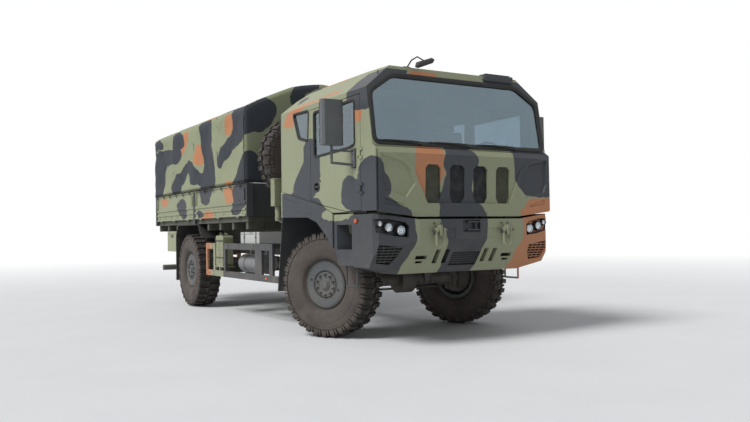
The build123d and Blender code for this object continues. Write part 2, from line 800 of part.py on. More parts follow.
def cab_fittings():
    """Wiper arms under the windscreen and the kerb mirror over its right end."""
    made = []
    for y in (-700.0, 20.0, 740.0):
        arm = beam((1420, y, 2178), (1412, y - 330, 2205), 14, 10)
        spindle = rod((CAB_FRONT - 1.3, y, 2172), (1427, y, 2172), 12)
        blade = beam((1414, y - 560, 2203), (1414, y - 20, 2208), 10, 12)
        made.append(fuse([arm, spindle, blade]))
    foot = block((1185, 1240), (-660, -600), (3000, 3062)) - inset(CAB_SIDE, SEAT_GAP, "y")
    arm = rod((1225, -625, 3045), (1330, -430, 3150), 9)
    arm2 = rod((1330, -430, 3150), (1420, -480, 3090), 9)
    head = Pos(1430, -500, 3045) * Rot(0, 20, 0) * Box(50, 160, 110)
    made.append(fuse([foot, arm, arm2, head, Pos(1330, -430, 3150) * Sphere(9)]))
    save("cab_fittings", made)


# Bumper, steps and mudguards

def wheel_envelope():
    """Space that a front wheel sweeps between its steering limits, about its kingpin."""
    outline = [
        (0, 200), (745, 200), (745, 800), (700, 900), (610, 1050), (500, 1190), (400, 1275), (0, 1300),
    ]
    face = Face(Wire.make_polygon([(radius, 0, z) for radius, z in outline]))
    return Pos(0, -KINGPIN_Y, 0) * revolve(face, axis=Axis.Z, revolution_arc=360)


def bumper_side(amount):
    return [
        (BUMPER_REAR - 200, BUMPER_CORNER + 40 - amount),
        (BUMPER_FACE - amount, BUMPER_CORNER + 40 - amount),
        (BUMPER_FACE - amount, BUMPER_CREASE),
        (BUMPER_FACE - 260 - amount, BUMPER_LOW + amount),
        (BUMPER_REAR - 200, BUMPER_LOW + amount),
    ]


def bumper_plan(amount):
    half = CAB_HALF_W - amount
    right = [(BUMPER_FACE, -700.0), (1460.0, -930.0), (1430.0, -1165.0), (1375.0, -half)]
    points = [(x - amount, max(y, -half)) for x, y in right]
    points.append((BUMPER_REAR - 200, -half))
    left = [(x, -y) for x, y in reversed(points)]
    return points + left


def bumper_front(amount):
    half = CAB_HALF_W + 10 - amount
    top = BUMPER_TOP
    return [
        (-half, BUMPER_LOW + 83 + amount),
        (-864, BUMPER_LOW + amount),
        (864, BUMPER_LOW + amount),
        (half, BUMPER_LOW + 83 + amount),
        (half, BUMPER_CORNER),
        (716, top),
        (-716, top),
        (-half, BUMPER_CORNER),
    ]


def corner_cut():
    """Half-space in front of and below the bumper's lower right corner."""
    a = Vector(1432, -1165, BUMPER_CREASE)
    b = Vector(1080, -1212, 850)
    c = Vector(1262, -870, 800)
    normal = (b - a).cross(c - a).normalized()
    if normal.X < 0:
        normal = normal * -1
    plane = Plane(origin=a, z_dir=normal)
    return plane * Pos(0, 0, 500) * Box(3000, 3000, 1000)


def bumper_block(amount):
    shape = slab(bumper_side(amount), "y", -1400, 1400)
    shape = shape & slab(bumper_plan(amount), "z", 600, 1600)
    shape = shape & slab(bumper_front(amount), "x", 400, 1700)
    return shape


LAMP_SEAT = 1390.0

HEAD_LAMPS = [
    # x of the glass, y, z, radius
    (1452.0, -900.0, 1249.0, 56.0),
    (1440.0, -1045.0, 1282.0, 52.0),
    (1428.0, -1145.0, 1322.0, 34.0),
]


def front_bumper():
    shell = bumper_block(0)
    inner = bumper_block(BUMPER_WALL)
    inner = inner + block((BUMPER_REAR - 300, BUMPER_REAR), (-1500, 1500), (600, 1600))
    shell = shell - inner
    shell = shell & block((BUMPER_REAR, 1700), (-1300, 1300), (600, 1600))
    cluster = [
        (-820, 1175), (-1000, 1190), (-1185, 1230), (-1200, 1370), (-1050, 1368), (-860, 1335), (-815, 1290),
    ]
    pocket = slab(cluster, "x", LAMP_SEAT, 1600)
    shell = shell - pocket - mirror(pocket, about=Plane.XZ)
    plate = slab(cluster, "x", LAMP_SEAT - 20, LAMP_SEAT)
    plate = plate + slab([(y * 1.012, z + (12 if z > 1280 else -12)) for y, z in cluster], "x", 1370, 1386)
    shell = shell + plate + mirror(plate, about=Plane.XZ)
    shell = shell - wheel_envelope() - mirror(wheel_envelope(), about=Plane.XZ)
    shell = shell + block((RAIL_FRONT + SEAT_GAP, BUMPER_FACE - 20), (-420, -340), (930, 1130)) \
        + block((RAIL_FRONT + SEAT_GAP, BUMPER_FACE - 20), (340, 420), (930, 1130))
    for side in (-1, 1):
        y = side * SHACKLE_Y
        ear = block((BUMPER_FACE - 10, FRONT_REACH), (y - 13, y + 13), (SHACKLE_Z - 55, SHACKLE_Z + 55))
        hole = rod((SHACKLE_X, y - 20, SHACKLE_Z), (SHACKLE_X, y + 20, SHACKLE_Z), SHACKLE_PIN_R + SEAT_GAP)
        shell = shell + ear - hole
    save("front_bumper", [shell])


SHACKLE_X = 1544.0
SHACKLE_Y = 467.0
SHACKLE_Z = 1244.0
SHACKLE_PIN_R = 14.0
SHACKLE_BOW_R = 48.0
SHACKLE_BAR_R = 13.0


def tow_shackles():
    """Bow shackles hanging from the bumper's towing eyes."""
    made = []
    for side in (-1, 1):
        y = side * SHACKLE_Y
        low = 1110.0
        bar = Pos(SHACKLE_X, y + SHACKLE_BOW_R, low) * Circle(SHACKLE_BAR_R)
        turn = Axis((SHACKLE_X, y, low), (-1, 0, 0))
        parts = [revolve(bar.face(), axis=turn, revolution_arc=180)]
        for leg in (-SHACKLE_BOW_R, SHACKLE_BOW_R):
            parts.append(rod((SHACKLE_X, y + leg, low), (SHACKLE_X, y + leg, SHACKLE_Z), SHACKLE_BAR_R))
            parts.append(rod((SHACKLE_X, y + leg - 14, SHACKLE_Z), (SHACKLE_X, y + leg + 14, SHACKLE_Z), 24))
        reach = SHACKLE_BOW_R + 26
        parts.append(rod((SHACKLE_X, y - reach, SHACKLE_Z), (SHACKLE_X, y + reach, SHACKLE_Z), SHACKLE_PIN_R))
        made.append(fuse(parts))
    save("tow_shackles", made)


def headlamps():
    made = []
    for x, y, z, radius in HEAD_LAMPS:
        lamp = rod((LAMP_SEAT + SEAT_GAP, y, z), (x, y, z), radius)
        made += both_sides(lamp)
    save("headlamps", made)


def cab_steps():
    """Step box behind the bumper's corner with a foot well and a rod stirrup below."""
    half = CAB_HALF_W
    body = block((STEP_REAR, BUMPER_REAR - SEAT_GAP), (-half, -930), (STEP_LOW, 1438))
    body = body - slab(
        [(STEP_REAR - 5, 1090), (STEP_REAR - 5, STEP_LOW - 5), (640, STEP_LOW - 5)], "y", -1300, -800
    )
    well = slab([(565, -1300), (940, -1300), (940, -1000), (660, -1000)], "z", 1045, 1320)
    body = body - well - wheel_envelope()
    stirrup_y = -1150.0
    rods = []
    for x in (705.0, 945.0):
        rods.append(rod((x, stirrup_y, 640), (x, stirrup_y, STEP_LOW + 10), 11))
        rods.append(Pos(x, stirrup_y, 640) * Sphere(11))
    rods.append(rod((705, stirrup_y, 640), (945, stirrup_y, 640), 11))
    stay = block((RAIL_FRONT - 340, RAIL_FRONT - 260), (-931, -RAIL_OUT_Y - SEAT_GAP), (1000, 1080))
    save("cab_steps", both_sides(fuse([body, stay] + rods)))


def front_mudguards():
    """Outer panel under the cab, the liner over the tyre and the flap behind it."""
    panel = slab(FENDER, "y", -CAB_HALF_W, -CAB_HALF_W + 32)
    lower = [(523, 1062), (379, 1187), (120, 1360), (-112, 1420), (-875, 1436), (-950, 1000), (-1040, 480)]
    back = [(523, 1062 + 18), (383, 1199), (124, 1373), (-111, 1433), (-887, 1449), (-963, 1000), (-1053, 480)]
    strip = slab(lower + back[::-1], "y", -CAB_HALF_W, -640)
    guard = fuse([panel, strip])
    guard = guard - wheel_envelope()
    arm = block((-1000, -948), (-700, -RAIL_OUT_Y - SEAT_GAP), (1000, 1060))
    save("front_mudguards", both_sides(fuse([guard, arm])))


# Load bed

BOARDS = [
    # name, front x, rear x
    ("front", BED_FRONT - BOARD_GAP, MID_POST_X + POST_W / 2 + BOARD_GAP),
    ("rear", MID_POST_X - POST_W / 2 - BOARD_GAP, BED_REAR + POST_W + BOARD_GAP),
]


def cargo_floor():
    parts = [block((BED_REAR, BED_FRONT), (-BED_HALF_W, BED_HALF_W), (FLOOR_LOW, FLOOR_LOW + FLOOR_T))]
    for side in (-1, 1):
        low, high = sorted((side * (RAIL_OUT_Y - RAIL_FLANGE), side * RAIL_OUT_Y))
        parts.append(block((RAIL_REAR, BED_FRONT + 40), (low, high), (RAIL_TOP, RAIL_TOP + BEARER_BASE)))
        low, high = sorted((side * (BED_HALF_W - 30), side * (BOARD_IN - SEAT_GAP)))
        for name, front, rear in BOARDS:
            parts.append(block((rear, front), (low, high), (FLOOR_LOW, SILL_TOP)))
            for middle in board_hinges(rear, front):
                for a, b, barrel in barrels("x", (side * BOARD_PIN[0], BOARD_PIN[1]), middle, "seat"):
                    reach = sorted((side * (BED_HALF_W - 10), side * BOARD_PIN[0]))
                    parts.append(block((a, b), reach, (BOARD_PIN[1] - BARREL_R, BOARD_PIN[1] + 3)))
                    parts.append(barrel)
    count = 9
    first = BED_FRONT - 90
    last = BED_REAR + 90
    for n in range(count):
        x = first + (last - first) * n / (count - 1)
        near_wheel = abs(x + WHEELBASE) < TYRE_R + 160
        half = WHEEL_Y - TYRE_WIDTH / 2 - 40 if near_wheel else BED_HALF_W - 10
        parts.append(block((x - 40, x + 40), (-half, half), (RAIL_TOP + BEARER_BASE, FLOOR_LOW)))
    sill = BED_REAR - BOARD_GAP + SEAT_GAP
    parts.append(block((sill, BED_REAR + 30), (-BED_HALF_W + POST_W, BED_HALF_W - POST_W), (FLOOR_LOW, SILL_TOP)))
    for y in GATE_HINGES:
        for a, b, barrel in barrels("y", GATE_PIN, y, "seat"):
            parts.append(block((GATE_PIN[0], BED_REAR + 10), (a, b), (GATE_PIN[1] - BARREL_R, GATE_PIN[1] + 3)))
            parts.append(barrel)
    save("cargo_floor", [fuse(parts)])


def board_hinges(x0, x1):
    return [x0 + 300, (x0 + x1) / 2, x1 - 300]


def board(x0, x1):
    """One right-hand drop side with its pressed rails and end posts."""
    parts = [block((x0, x1), (-BOARD_IN - BOARD_T, -BOARD_IN), (BOARD_LOW, BOARD_TOP))]
    face = -BOARD_IN - BOARD_T
    for z, tall in ((1678, 30), (1593, 30), (1505, 24), (1945, 22)):
        parts.append(block((x0, x1), (face - BOARD_RIB, face), (z - tall / 2, z + tall / 2)))
    for x in board_hinges(x0, x1):
        for low, high, barrel in barrels("x", (-BOARD_PIN[0], BOARD_PIN[1]), x, "leaf"):
            parts.append(block((low, high), (face - BOARD_RIB, face), (BOARD_PIN[1], BOARD_LOW + 10)))
            parts.append(barrel)
    return fuse(parts)


def drop_sides():
    for name, front, rear in BOARDS:
        right, left = both_sides(board(rear, front))
        save(f"dropside_right_{name}", [right])
        save(f"dropside_left_{name}", [left])
    half = BOARD_IN - BOARD_GAP
    face = BED_REAR - BOARD_GAP
    gate = [block((face - BOARD_T, face), (-half, half), (BOARD_LOW, BOARD_TOP))]
    for z, tall in ((1678, 30), (1593, 30), (1505, 24), (1945, 22)):
        gate.append(
            block((face - BOARD_T - BOARD_RIB, face - BOARD_T), (-half, half), (z - tall / 2, z + tall / 2))
        )
    for y in GATE_HINGES:
        for low, high, barrel in barrels("y", GATE_PIN, y, "leaf"):
            gate.append(block((face - BOARD_T - BOARD_RIB, face - BOARD_T), (low, high), (GATE_PIN[1], BOARD_LOW + 10)))
            gate.append(barrel)
    save("tailgate", [fuse(gate)])


TARP_SECTION = [
    # y, z of the tarp's outer face from the hem to the ridge
    (TARP_OUT - 4, HEM_Z),
    (TARP_OUT, 3047.0),
    (1097.0, 3141.0),
    (823.0, 3262.0),
    (512.0, 3392.0),
    (145.0, 3460.0),
]


def tarp_outline(amount, low):
    """The tarp's section moved inwards by an amount, closed along the height low."""
    right = [(-y + amount, z - amount if z > HEM_Z else z) for y, z in TARP_SECTION]
    right[0] = (right[0][0], low)
    left = [(-y, z) for y, z in reversed(right)]
    return right + [(0, RIDGE_Z - amount)] + left


def canopy():
    outer = slab(tarp_outline(0, HEM_Z), "x", TARP_REAR, TARP_FRONT)
    inner = slab(tarp_outline(TARP_T, HEM_Z - 50), "x", TARP_REAR - 50, TARP_FRONT - TARP_T)
    save("canopy", [outer - inner])


def cargo_frame():
    """Headboard, corner and middle posts, the side rails and the hoops under the tarp."""
    top = HEM_Z + 20
    tube = 34.0
    lie = TARP_OUT - TARP_T - 6 - tube
    parts = []
    board_low = FLOOR_LOW + FLOOR_T
    parts.append(block((BED_FRONT, BED_FRONT + 36), (-BOARD_IN - BOARD_T, BOARD_IN + BOARD_T), (board_low, HEM_Z - 5)))
    parts.append(block((BED_FRONT + 36, BED_FRONT + 60), (-1252, -1150), (board_low, HEM_Z - 5)))
    parts.append(block((BED_FRONT + 36, BED_FRONT + 60), (1150, 1252), (board_low, HEM_Z - 5)))
    posts = [MID_POST_X, BED_REAR + POST_W / 2]
    for x in posts:
        for side in (-1, 1):
            low, high = sorted((side * BED_HALF_W, side * (BOARD_IN + BOARD_T + BOARD_RIB)))
            parts.append(block((x - POST_W / 2, x + POST_W / 2), (low, high), (FLOOR_LOW, HEM_Z - 5)))
    hoops = [BED_FRONT - 60, -3220.0, MID_POST_X, -5560.0, BED_REAR + POST_W / 2]
    inner = tarp_outline(TARP_T + SEAT_GAP, top)
    for x in hoops:
        outline = inner + [
            (y - tube if y > 0 else y + tube if y < 0 else y, z - tube if z > top else z)
            for y, z in reversed(inner)
        ]
        parts.append(slab(outline, "x", x - tube / 2, x + tube / 2))
    for side in (-1, 1):
        low, high = sorted((side * (lie - 4), side * (lie + tube - 4)))
        parts.append(block((hoops[-1], BED_FRONT), (low, high), (top, top + tube)))
        for x in posts:
            low, high = sorted((side * BED_HALF_W, side * (BOARD_IN + BOARD_T)))
            parts.append(block((x - 20, x + 20), (low, high), (HEM_Z - 6, top + 5)))
        parts.append(block((BED_FRONT, BED_FRONT + 10), (low, high), (board_low, top + tube)))
    ridge = RIDGE_Z - TARP_T - SEAT_GAP - tube
    parts.append(block((hoops[-1], hoops[0]), (-20, 20), (ridge - tube, ridge + 4)))
    save("cargo_frame", [fuse(parts)])


def rear_mudguards():
    x = -WHEELBASE
    t = 14.0
    under = [
        (x + 748, 1176), (x + 554, FLOOR_LOW - SEAT_GAP - t), (x - 554, FLOOR_LOW - SEAT_GAP - t),
        (x - 676, 1215), (x - 676, 420),
    ]
    band = [
        (x - 690, 420), (x - 690, 1220), (x - 560, FLOOR_LOW - SEAT_GAP),
        (x + 560, FLOOR_LOW - SEAT_GAP), (x + 762, 1180),
    ]
    strip = slab(band + under, "y", -1222, -WHEEL_Y + TYRE_WIDTH / 2 + 15)
    save("rear_mudguards", both_sides(strip))


def rear_lamps():
    made = []
    for side in (-1, 1):
        low, high = sorted((side * 800, side * 1150))
        made.append(block((BED_REAR - 8, BED_REAR + 50 - SEAT_GAP), (low, high), (1305, 1400)))
    save("rear_lamps", made)


JAW_X = -6870.0
JAW_Z = 930.0
JAW_HOLE_R = 20.5
JAW_R = 60.0


def tow_hook():
    """Drawbar jaw on the rear cross member, with the hole for its pin."""
    start = RAIL_REAR - 40 - SEAT_GAP
    parts = [block((start - 24, start), (-130, 130), (JAW_Z - 100, JAW_Z + 100))]
    parts.append(rod((start - 20, 0, JAW_Z), (JAW_X + 95, 0, JAW_Z), 48))
    parts.append(block((JAW_X + 60, JAW_X + 100), (-JAW_R, JAW_R), (JAW_Z - 60, JAW_Z + 60)))
    for low, high in ((JAW_Z - 60, JAW_Z - 35), (JAW_Z + 35, JAW_Z + 60)):
        parts.append(block((JAW_X, JAW_X + 80), (-JAW_R, JAW_R), (low, high)))
        parts.append(Pos(JAW_X, 0, (low + high) / 2) * Cylinder(JAW_R, high - low))
    jaw = fuse(parts) - Pos(JAW_X, 0, JAW_Z) * Cylinder(JAW_HOLE_R, 300)
    save("tow_hook", [jaw])


# Equipment along the frame

GUARD_Y = (-1205.0, -1170.0)
GUARD_BEAMS = [
    # x low, x high, z low, z high
    (-3910.0, -1050.0, 580.0, 670.0),
    (-3910.0, -3480.0, 1005.0, 1095.0),
    (-3080.0, -1230.0, 1005.0, 1095.0),
    (-3910.0, -3850.0, 660.0, 1010.0),
    (-3560.0, -3480.0, 660.0, 1010.0),
    (-3080.0, -3020.0, 660.0, 1010.0),
    (-1840.0, -1600.0, 660.0, 1010.0),
    (-1340.0, -1230.0, 660.0, 1010.0),
]
ARM_X = [-3700.0, -2480.0, -1900.0, -1290.0]


def side_guards():
    parts = [block((x0, x1), GUARD_Y, (z0, z1)) for x0, x1, z0, z1 in GUARD_BEAMS]
    for x in ARM_X:
        parts.append(block((x - 30, x + 30), (GUARD_Y[1] - 5, -RAIL_OUT_Y - SEAT_GAP), (1035, 1095)))
    right, left = both_sides(fuse(parts))
    tube_x = RAIL_REAR + 40
    parts = [rod((tube_x, -1150, 610), (tube_x, 1150, 610), 52)]
    for y in (-390.0, 390.0):
        parts.append(block((tube_x - 35, tube_x + 35), (y - 35, y + 35), (610, RAIL_TOP - RAIL_H - SEAT_GAP)))
    save("side_guards", [right, left, fuse(parts)])


def air_tanks():
    y = -980.0
    parts = [rod((-2700, y, 800), (-1870, y, 800), 138)]
    for x in ARM_X[1:3]:
        parts.append(block((x - 25, x + 25), (y - 30, y + 30), (900, 1035 - SEAT_GAP)))
    save("air_tanks", [fuse(parts)])


def storage_boxes():
    light_box = block((-2560, -1850), (-1130, -700), (1095 + SEAT_GAP, 1260))
    top = RAIL_TOP + BEARER_BASE - SEAT_GAP
    rear_box = block((-6140, -5560), (-1195, -760), (930, top))
    hanger = block((-5700, -5660), (-1150, -800), (top - 10, FLOOR_LOW - SEAT_GAP))
    save("storage_boxes", [light_box, fuse([rear_box, hanger])])


def jerrycan():
    """Can on a small tray over the guard's lower beam."""
    can = block((-3445, -3115), (-1203, -1040), (742, 1215))
    can = chamfer(can.edges().filter_by(Axis.Y), 30)
    handle = [block((-3400, -3380), (-1135, -1110), (1215, 1245)), block((-3180, -3160), (-1135, -1110), (1215, 1245))]
    handle.append(block((-3400, -3160), (-1135, -1110), (1237, 1250)))
    neck = rod((-3290, -1165, 1215), (-3290, -1165, 1236), 28)
    tray = block((-3478, -3082), (-1205, -1035), (724, 742))
    foot = block((-3300, -3260), GUARD_Y, (670 + SEAT_GAP, 724))
    save("jerrycan", [fuse([can, neck, tray, foot] + handle)])


def fuel_tank():
    tank = block((-3450, -2050), (520, 1150), (600, 1020))
    tank = fillet(tank.edges().filter_by(Axis.X), 90)
    brackets = [
        block((x - 30, x + 30), (RAIL_OUT_Y + SEAT_GAP, 525), (780, 1000)) for x in (-3200.0, -2300.0)
    ]
    save("fuel_tank", [fuse([tank] + brackets)])


def silencer():
    body = rod((-1900, 780, 760), (-1120, 780, 760), 190)
    bracket = [block((x - 25, x + 25), (RAIL_OUT_Y + SEAT_GAP, 800), (930, 990)) for x in (-1750.0, -1250.0)]
    tail = rod((-1510, 780, 760), (-1510, 1120, 700), 55)
    save("silencer", [fuse([body, tail] + bracket)])


def intake_stack():
    box = block((-1165, -1040), (-1245, -1105), (1595, 1950))
    pipe = rod((-1100, -1170, 1400), (-1100, -1170, 1600), 40)
    elbow = rod((-1100, -1170, 1440), (-1100, -RAIL_OUT_Y - 60, 1100), 40)
    stub = rod((-1100, -RAIL_OUT_Y - 75, 1100), (-1100, -RAIL_OUT_Y - SEAT_GAP, 1100), 46)
    save("intake_stack", [fuse([box, pipe, elbow, stub])])


def main():
    wheels()
    spare_wheel()
    spare_carrier()
    front_axle()
    rear_axle()
    leaf_springs()
    steering()
    chassis_frame()
    engine_and_radiator()
    driveline()
    cab_shell()
    glazing()
    doors()
    mirrors()
    front_flap()
    dashboard_and_wheel()
    seats()
    cab_fittings()
    front_bumper()
    tow_shackles()
    headlamps()
    cab_steps()
    front_mudguards()
    cargo_floor()
    drop_sides()
    canopy()
    cargo_frame()
    rear_mudguards()
    rear_lamps()
    tow_hook()
    side_guards()
    air_tanks()
    storage_boxes()
    jerrycan()
    fuel_tank()
    silencer()
    intake_stack()


main()
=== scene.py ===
import math

import bmesh
import bpy
from mathutils import Matrix, Vector, noise


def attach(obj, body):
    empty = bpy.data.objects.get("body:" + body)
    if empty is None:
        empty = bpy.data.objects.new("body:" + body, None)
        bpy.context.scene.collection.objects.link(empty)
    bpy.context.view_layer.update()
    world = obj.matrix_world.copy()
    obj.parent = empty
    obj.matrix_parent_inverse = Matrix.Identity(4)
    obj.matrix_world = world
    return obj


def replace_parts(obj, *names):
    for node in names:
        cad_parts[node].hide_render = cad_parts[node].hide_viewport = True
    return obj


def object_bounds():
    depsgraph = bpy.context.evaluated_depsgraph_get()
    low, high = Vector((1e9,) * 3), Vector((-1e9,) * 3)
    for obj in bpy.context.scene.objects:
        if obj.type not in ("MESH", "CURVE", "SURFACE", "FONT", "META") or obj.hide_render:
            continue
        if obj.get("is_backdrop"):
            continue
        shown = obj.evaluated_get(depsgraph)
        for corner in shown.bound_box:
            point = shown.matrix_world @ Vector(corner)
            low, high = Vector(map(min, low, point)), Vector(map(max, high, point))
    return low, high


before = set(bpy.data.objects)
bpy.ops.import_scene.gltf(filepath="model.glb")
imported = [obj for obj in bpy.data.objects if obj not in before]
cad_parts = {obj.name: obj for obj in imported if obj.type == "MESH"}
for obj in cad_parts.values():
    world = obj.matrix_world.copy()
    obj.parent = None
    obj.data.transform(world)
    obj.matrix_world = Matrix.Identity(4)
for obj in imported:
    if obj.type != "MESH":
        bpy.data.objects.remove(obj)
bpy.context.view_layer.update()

# Camera: it stands at head height off the truck's right-hand front corner and looks along
# the load bed, with a lens of about 37 mm and less than a degree of roll.
scene = bpy.context.scene
EYE = Vector((10.8495, -5.286, 1.245))
YAW, PITCH, ROLL = (math.radians(angle) for angle in (31.168, 1.516, -0.889))
SENSOR_WIDTH, LENS, FAR_CLIP = 36.0, 36.643, 400.0
ahead = Vector((-math.cos(YAW) * math.cos(PITCH), math.sin(YAW) * math.cos(PITCH), math.sin(PITCH)))
level = ahead.cross(Vector((0, 0, 1))).normalized()
upright = level.cross(ahead)
across = level * math.cos(ROLL) + upright * math.sin(ROLL)
overhead = upright * math.cos(ROLL) - level * math.sin(ROLL)
camera = bpy.data.objects.new("camera", bpy.data.cameras.new("camera"))
camera.data.sensor_width = SENSOR_WIDTH
camera.data.lens = LENS
camera.data.clip_end = FAR_CLIP
facing = Matrix((across, overhead, -ahead)).transposed().to_4x4()
camera.matrix_world = Matrix.Translation(EYE) @ facing
scene.collection.objects.link(camera)
scene.camera = camera
scene.view_settings.view_transform = "Standard"


# Studio: a pale floor that runs out into a white surround, one large soft lamp high on the
# truck's right and an even light from all round.
class Shade:
    """A socket of a material; arithmetic on it adds the nodes that do the sum."""

    def __init__(self, tree, socket):
        self.tree = tree
        self.socket = socket

    def node(self, kind, settings=None, sockets=None, out=0):
        made = self.tree.nodes.new("ShaderNode" + kind)
        for name, value in (settings or {}).items():
            setattr(made, name, value)
        for name, value in (sockets or {}).items():
            if isinstance(value, Shade):
                self.tree.links.new(value.socket, made.inputs[name])
            else:
                made.inputs[name].default_value = value
        return Shade(self.tree, made.outputs[out])

    def math(self, operation, other=0.0, third=0.0, clamp=False):
        settings = {"operation": operation, "use_clamp": clamp}
        return self.node("Math", settings, {0: self, 1: other, 2: third})

    def __add__(self, other):
        return self.math("ADD", other)

    __radd__ = __add__

    def __sub__(self, other):
        return self.math("SUBTRACT", other)

    def __rsub__(self, other):
        return self.node("Math", {"operation": "SUBTRACT"}, {0: other, 1: self})

    def __mul__(self, other):
        return self.math("MULTIPLY", other)

    __rmul__ = __mul__

    def least(self, other):
        return self.math("MINIMUM", other)

    def most(self, other):
        return self.math("MAXIMUM", other)

    def clamp(self):
        return self.math("MULTIPLY", 1.0, clamp=True)

    def span(self, low, high, start=0.0, end=1.0):
        """Runs from start to end while this value goes from low to high."""
        ends = {"From Min": low, "From Max": high, "To Min": start, "To Max": end}
        return self.node("MapRange", None, {"Value": self, **ends})

    def vector(self, operation, other=(0, 0, 0), third=(0, 0, 0), scale=1.0, out=0):
        sockets = {0: self, 1: other, 2: third, 3: scale}
        return self.node("VectorMath", {"operation": operation}, sockets, out)

    def part(self, axis):
        return self.node("SeparateXYZ", None, {0: self}, "xyz".index(axis))

    def noise(self, scale, detail=2.0, out=0):
        sockets = {"Vector": self, "Scale": scale, "Detail": detail}
        return self.node("TexNoise", None, sockets, out)

    def mix(self, other, share):
        """This colour where share is 0 and the other where it is 1."""
        return self.blend(self, other, share)

    def blend(self, first, second, share):
        return self.node("Mix", {"data_type": "RGBA"}, {0: share, 6: first, 7: second}, 2)

    def bump(self, height, distance, strength=0.6, **sockets):
        sockets = {"Height": height, "Distance": distance, "Strength": strength, **sockets}
        return self.node("Bump", None, sockets)


def colour(red, green, blue):
    """A colour as a paint chart gives it, from 0 to 255, made linear for the shader."""
    parts = (red, green, blue)
    shares = (((c / 255 + 0.055) / 1.055) ** 2.4 if c > 10 else c / 3295 for c in parts)
    return (*shares, 1.0)


def white_behind(tree, lit, shown):
    """Shows one shader to the camera, to reflections and through glass, the other as light."""
    path = tree.nodes.new("ShaderNodeLightPath")
    seen = Shade(tree, path.outputs["Is Camera Ray"])
    for ray in ("Is Glossy Ray", "Is Transmission Ray"):
        seen = seen.most(Shade(tree, path.outputs[ray]))
    return seen.node("MixShader", None, {0: seen, 1: lit, 2: shown})


WHITE = (1, 1, 1, 1)
world = bpy.data.worlds.new("surround")
scene.world = world
world.use_nodes = True
tree = world.node_tree
tree.nodes.clear()
blank = Shade(tree, None)
sky_light = blank.node("Background", None, {"Color": colour(236, 240, 246), "Strength": 0.36})
sky_shown = blank.node("Background", None, {"Color": WHITE, "Strength": 1.0})
world_out = tree.nodes.new("ShaderNodeOutputWorld")
tree.links.new(white_behind(tree, sky_light, sky_shown).socket, world_out.inputs["Surface"])

floor_mesh = bmesh.new()
bmesh.ops.create_circle(floor_mesh, cap_ends=True, segments=96, radius=90.0)
floor_data = bpy.data.meshes.new("floor")
floor_mesh.to_mesh(floor_data)
floor_mesh.free()
floor = bpy.data.objects.new("floor", floor_data)
scene.collection.objects.link(floor)
floor_finish = bpy.data.materials.new("pale_floor")
floor_finish.use_nodes = True
tree = floor_finish.node_tree
floor_shader = tree.nodes["Principled BSDF"]
place = Shade(tree, tree.nodes.new("ShaderNodeTexCoord").outputs["Object"])
grit = place.noise(1.1, 5.0) * 0.05 + place.noise(70.0, 3.0) * 0.05
swept = place.blend(colour(212, 213, 214), colour(232, 232, 232), grit * 9 - 0.2)
tree.links.new(swept.socket, floor_shader.inputs["Base Color"])
floor_shader.inputs["Roughness"].default_value = 0.8
away = place.vector("LENGTH", out=1).span(8.0, 26.0)
bare = place.node("Emission", None, {"Color": WHITE, "Strength": 1.0})
lit_floor = Shade(tree, floor_shader.outputs[0])
shown_floor = lit_floor.node("MixShader", None, {0: away, 1: lit_floor, 2: bare})
floor_out = tree.nodes["Material Output"]
tree.links.new(white_behind(tree, lit_floor, shown_floor).socket, floor_out.inputs["Surface"])
floor_data.materials.append(floor_finish)
floor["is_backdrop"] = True

lamp = bpy.data.objects.new("softbox", bpy.data.lights.new("softbox", "SUN"))
lamp.data.energy = 2.85
lamp.data.angle = math.radians(24)
lamp.rotation_euler = Vector((0.03, -0.67, 0.74)).to_track_quat("Z", "Y").to_euler()
scene.collection.objects.link(lamp)


# Frame, axles, springs and drive line: pressed and forged steel, bolted up and sprayed dark
# before the cab and bed are set on it, with road dust thickest low down.
def new_finish(name, roughness, metallic=0.0):
    """A material with one shader; returns it, that shader and where a point is on the truck."""
    made = bpy.data.materials.new(name)
    made.use_nodes = True
    tree = made.node_tree
    shader = tree.nodes["Principled BSDF"]
    shader.inputs["Roughness"].default_value = roughness
    shader.inputs["Metallic"].default_value = metallic
    return made, shader, Shade(tree, tree.nodes.new("ShaderNodeTexCoord").outputs["Object"])


def feed(shader, **values):
    """Links values to the shader's sockets, base_color being its Base Color."""
    for name, value in values.items():
        value.tree.links.new(value.socket, shader.inputs[name.replace("_", " ").title()])


DUST = colour(150, 140, 126)
COAT_GRAIN = (160.0, 0.0006)


def weathered(
    place, shader, paint, roughness,
    edge=0.006, worn=0.5, bare=(150, 150, 145), dust=0.5, grain=COAT_GRAIN,
):
    """Uneven tone, rubbed edges, dust low down and on ledges, and a fine grain in the coat."""
    rounded = place.node("Bevel", {"samples": 4}, {"Radius": edge})
    flat = place.node("NewGeometry", None, None, 1)
    corner = 1 - rounded.vector("DOT_PRODUCT", flat, out=1)
    rubbed = (corner * 3.0 - 0.25).clamp() * place.noise(9.0, 4.0).span(0.42, 0.62) * worn
    tone = place.noise(0.9, 4.0) * 0.22 + place.noise(14.0, 3.0) * 0.12 + 0.83
    coat = paint.vector("SCALE", scale=tone).mix(colour(*bare), rubbed)
    low = place.part("z").span(1.5, 0.3)
    ledge = flat.part("z").span(0.55, 0.95)
    settled = place.noise(3.2, 5.0).span(0.25, 0.75)
    dusty = ((low * 0.8 + ledge * 0.5 + 0.06) * settled * dust).clamp()
    matt = dusty * 0.3 + roughness + place.noise(22.0, 3.0) * 0.12 - 0.06
    fineness, depth = grain
    feed(
        shader,
        base_color=coat.mix(DUST, dusty),
        roughness=matt.clamp(),
        normal=place.bump(place.noise(fineness, 3.0), depth, Normal=rounded),
    )


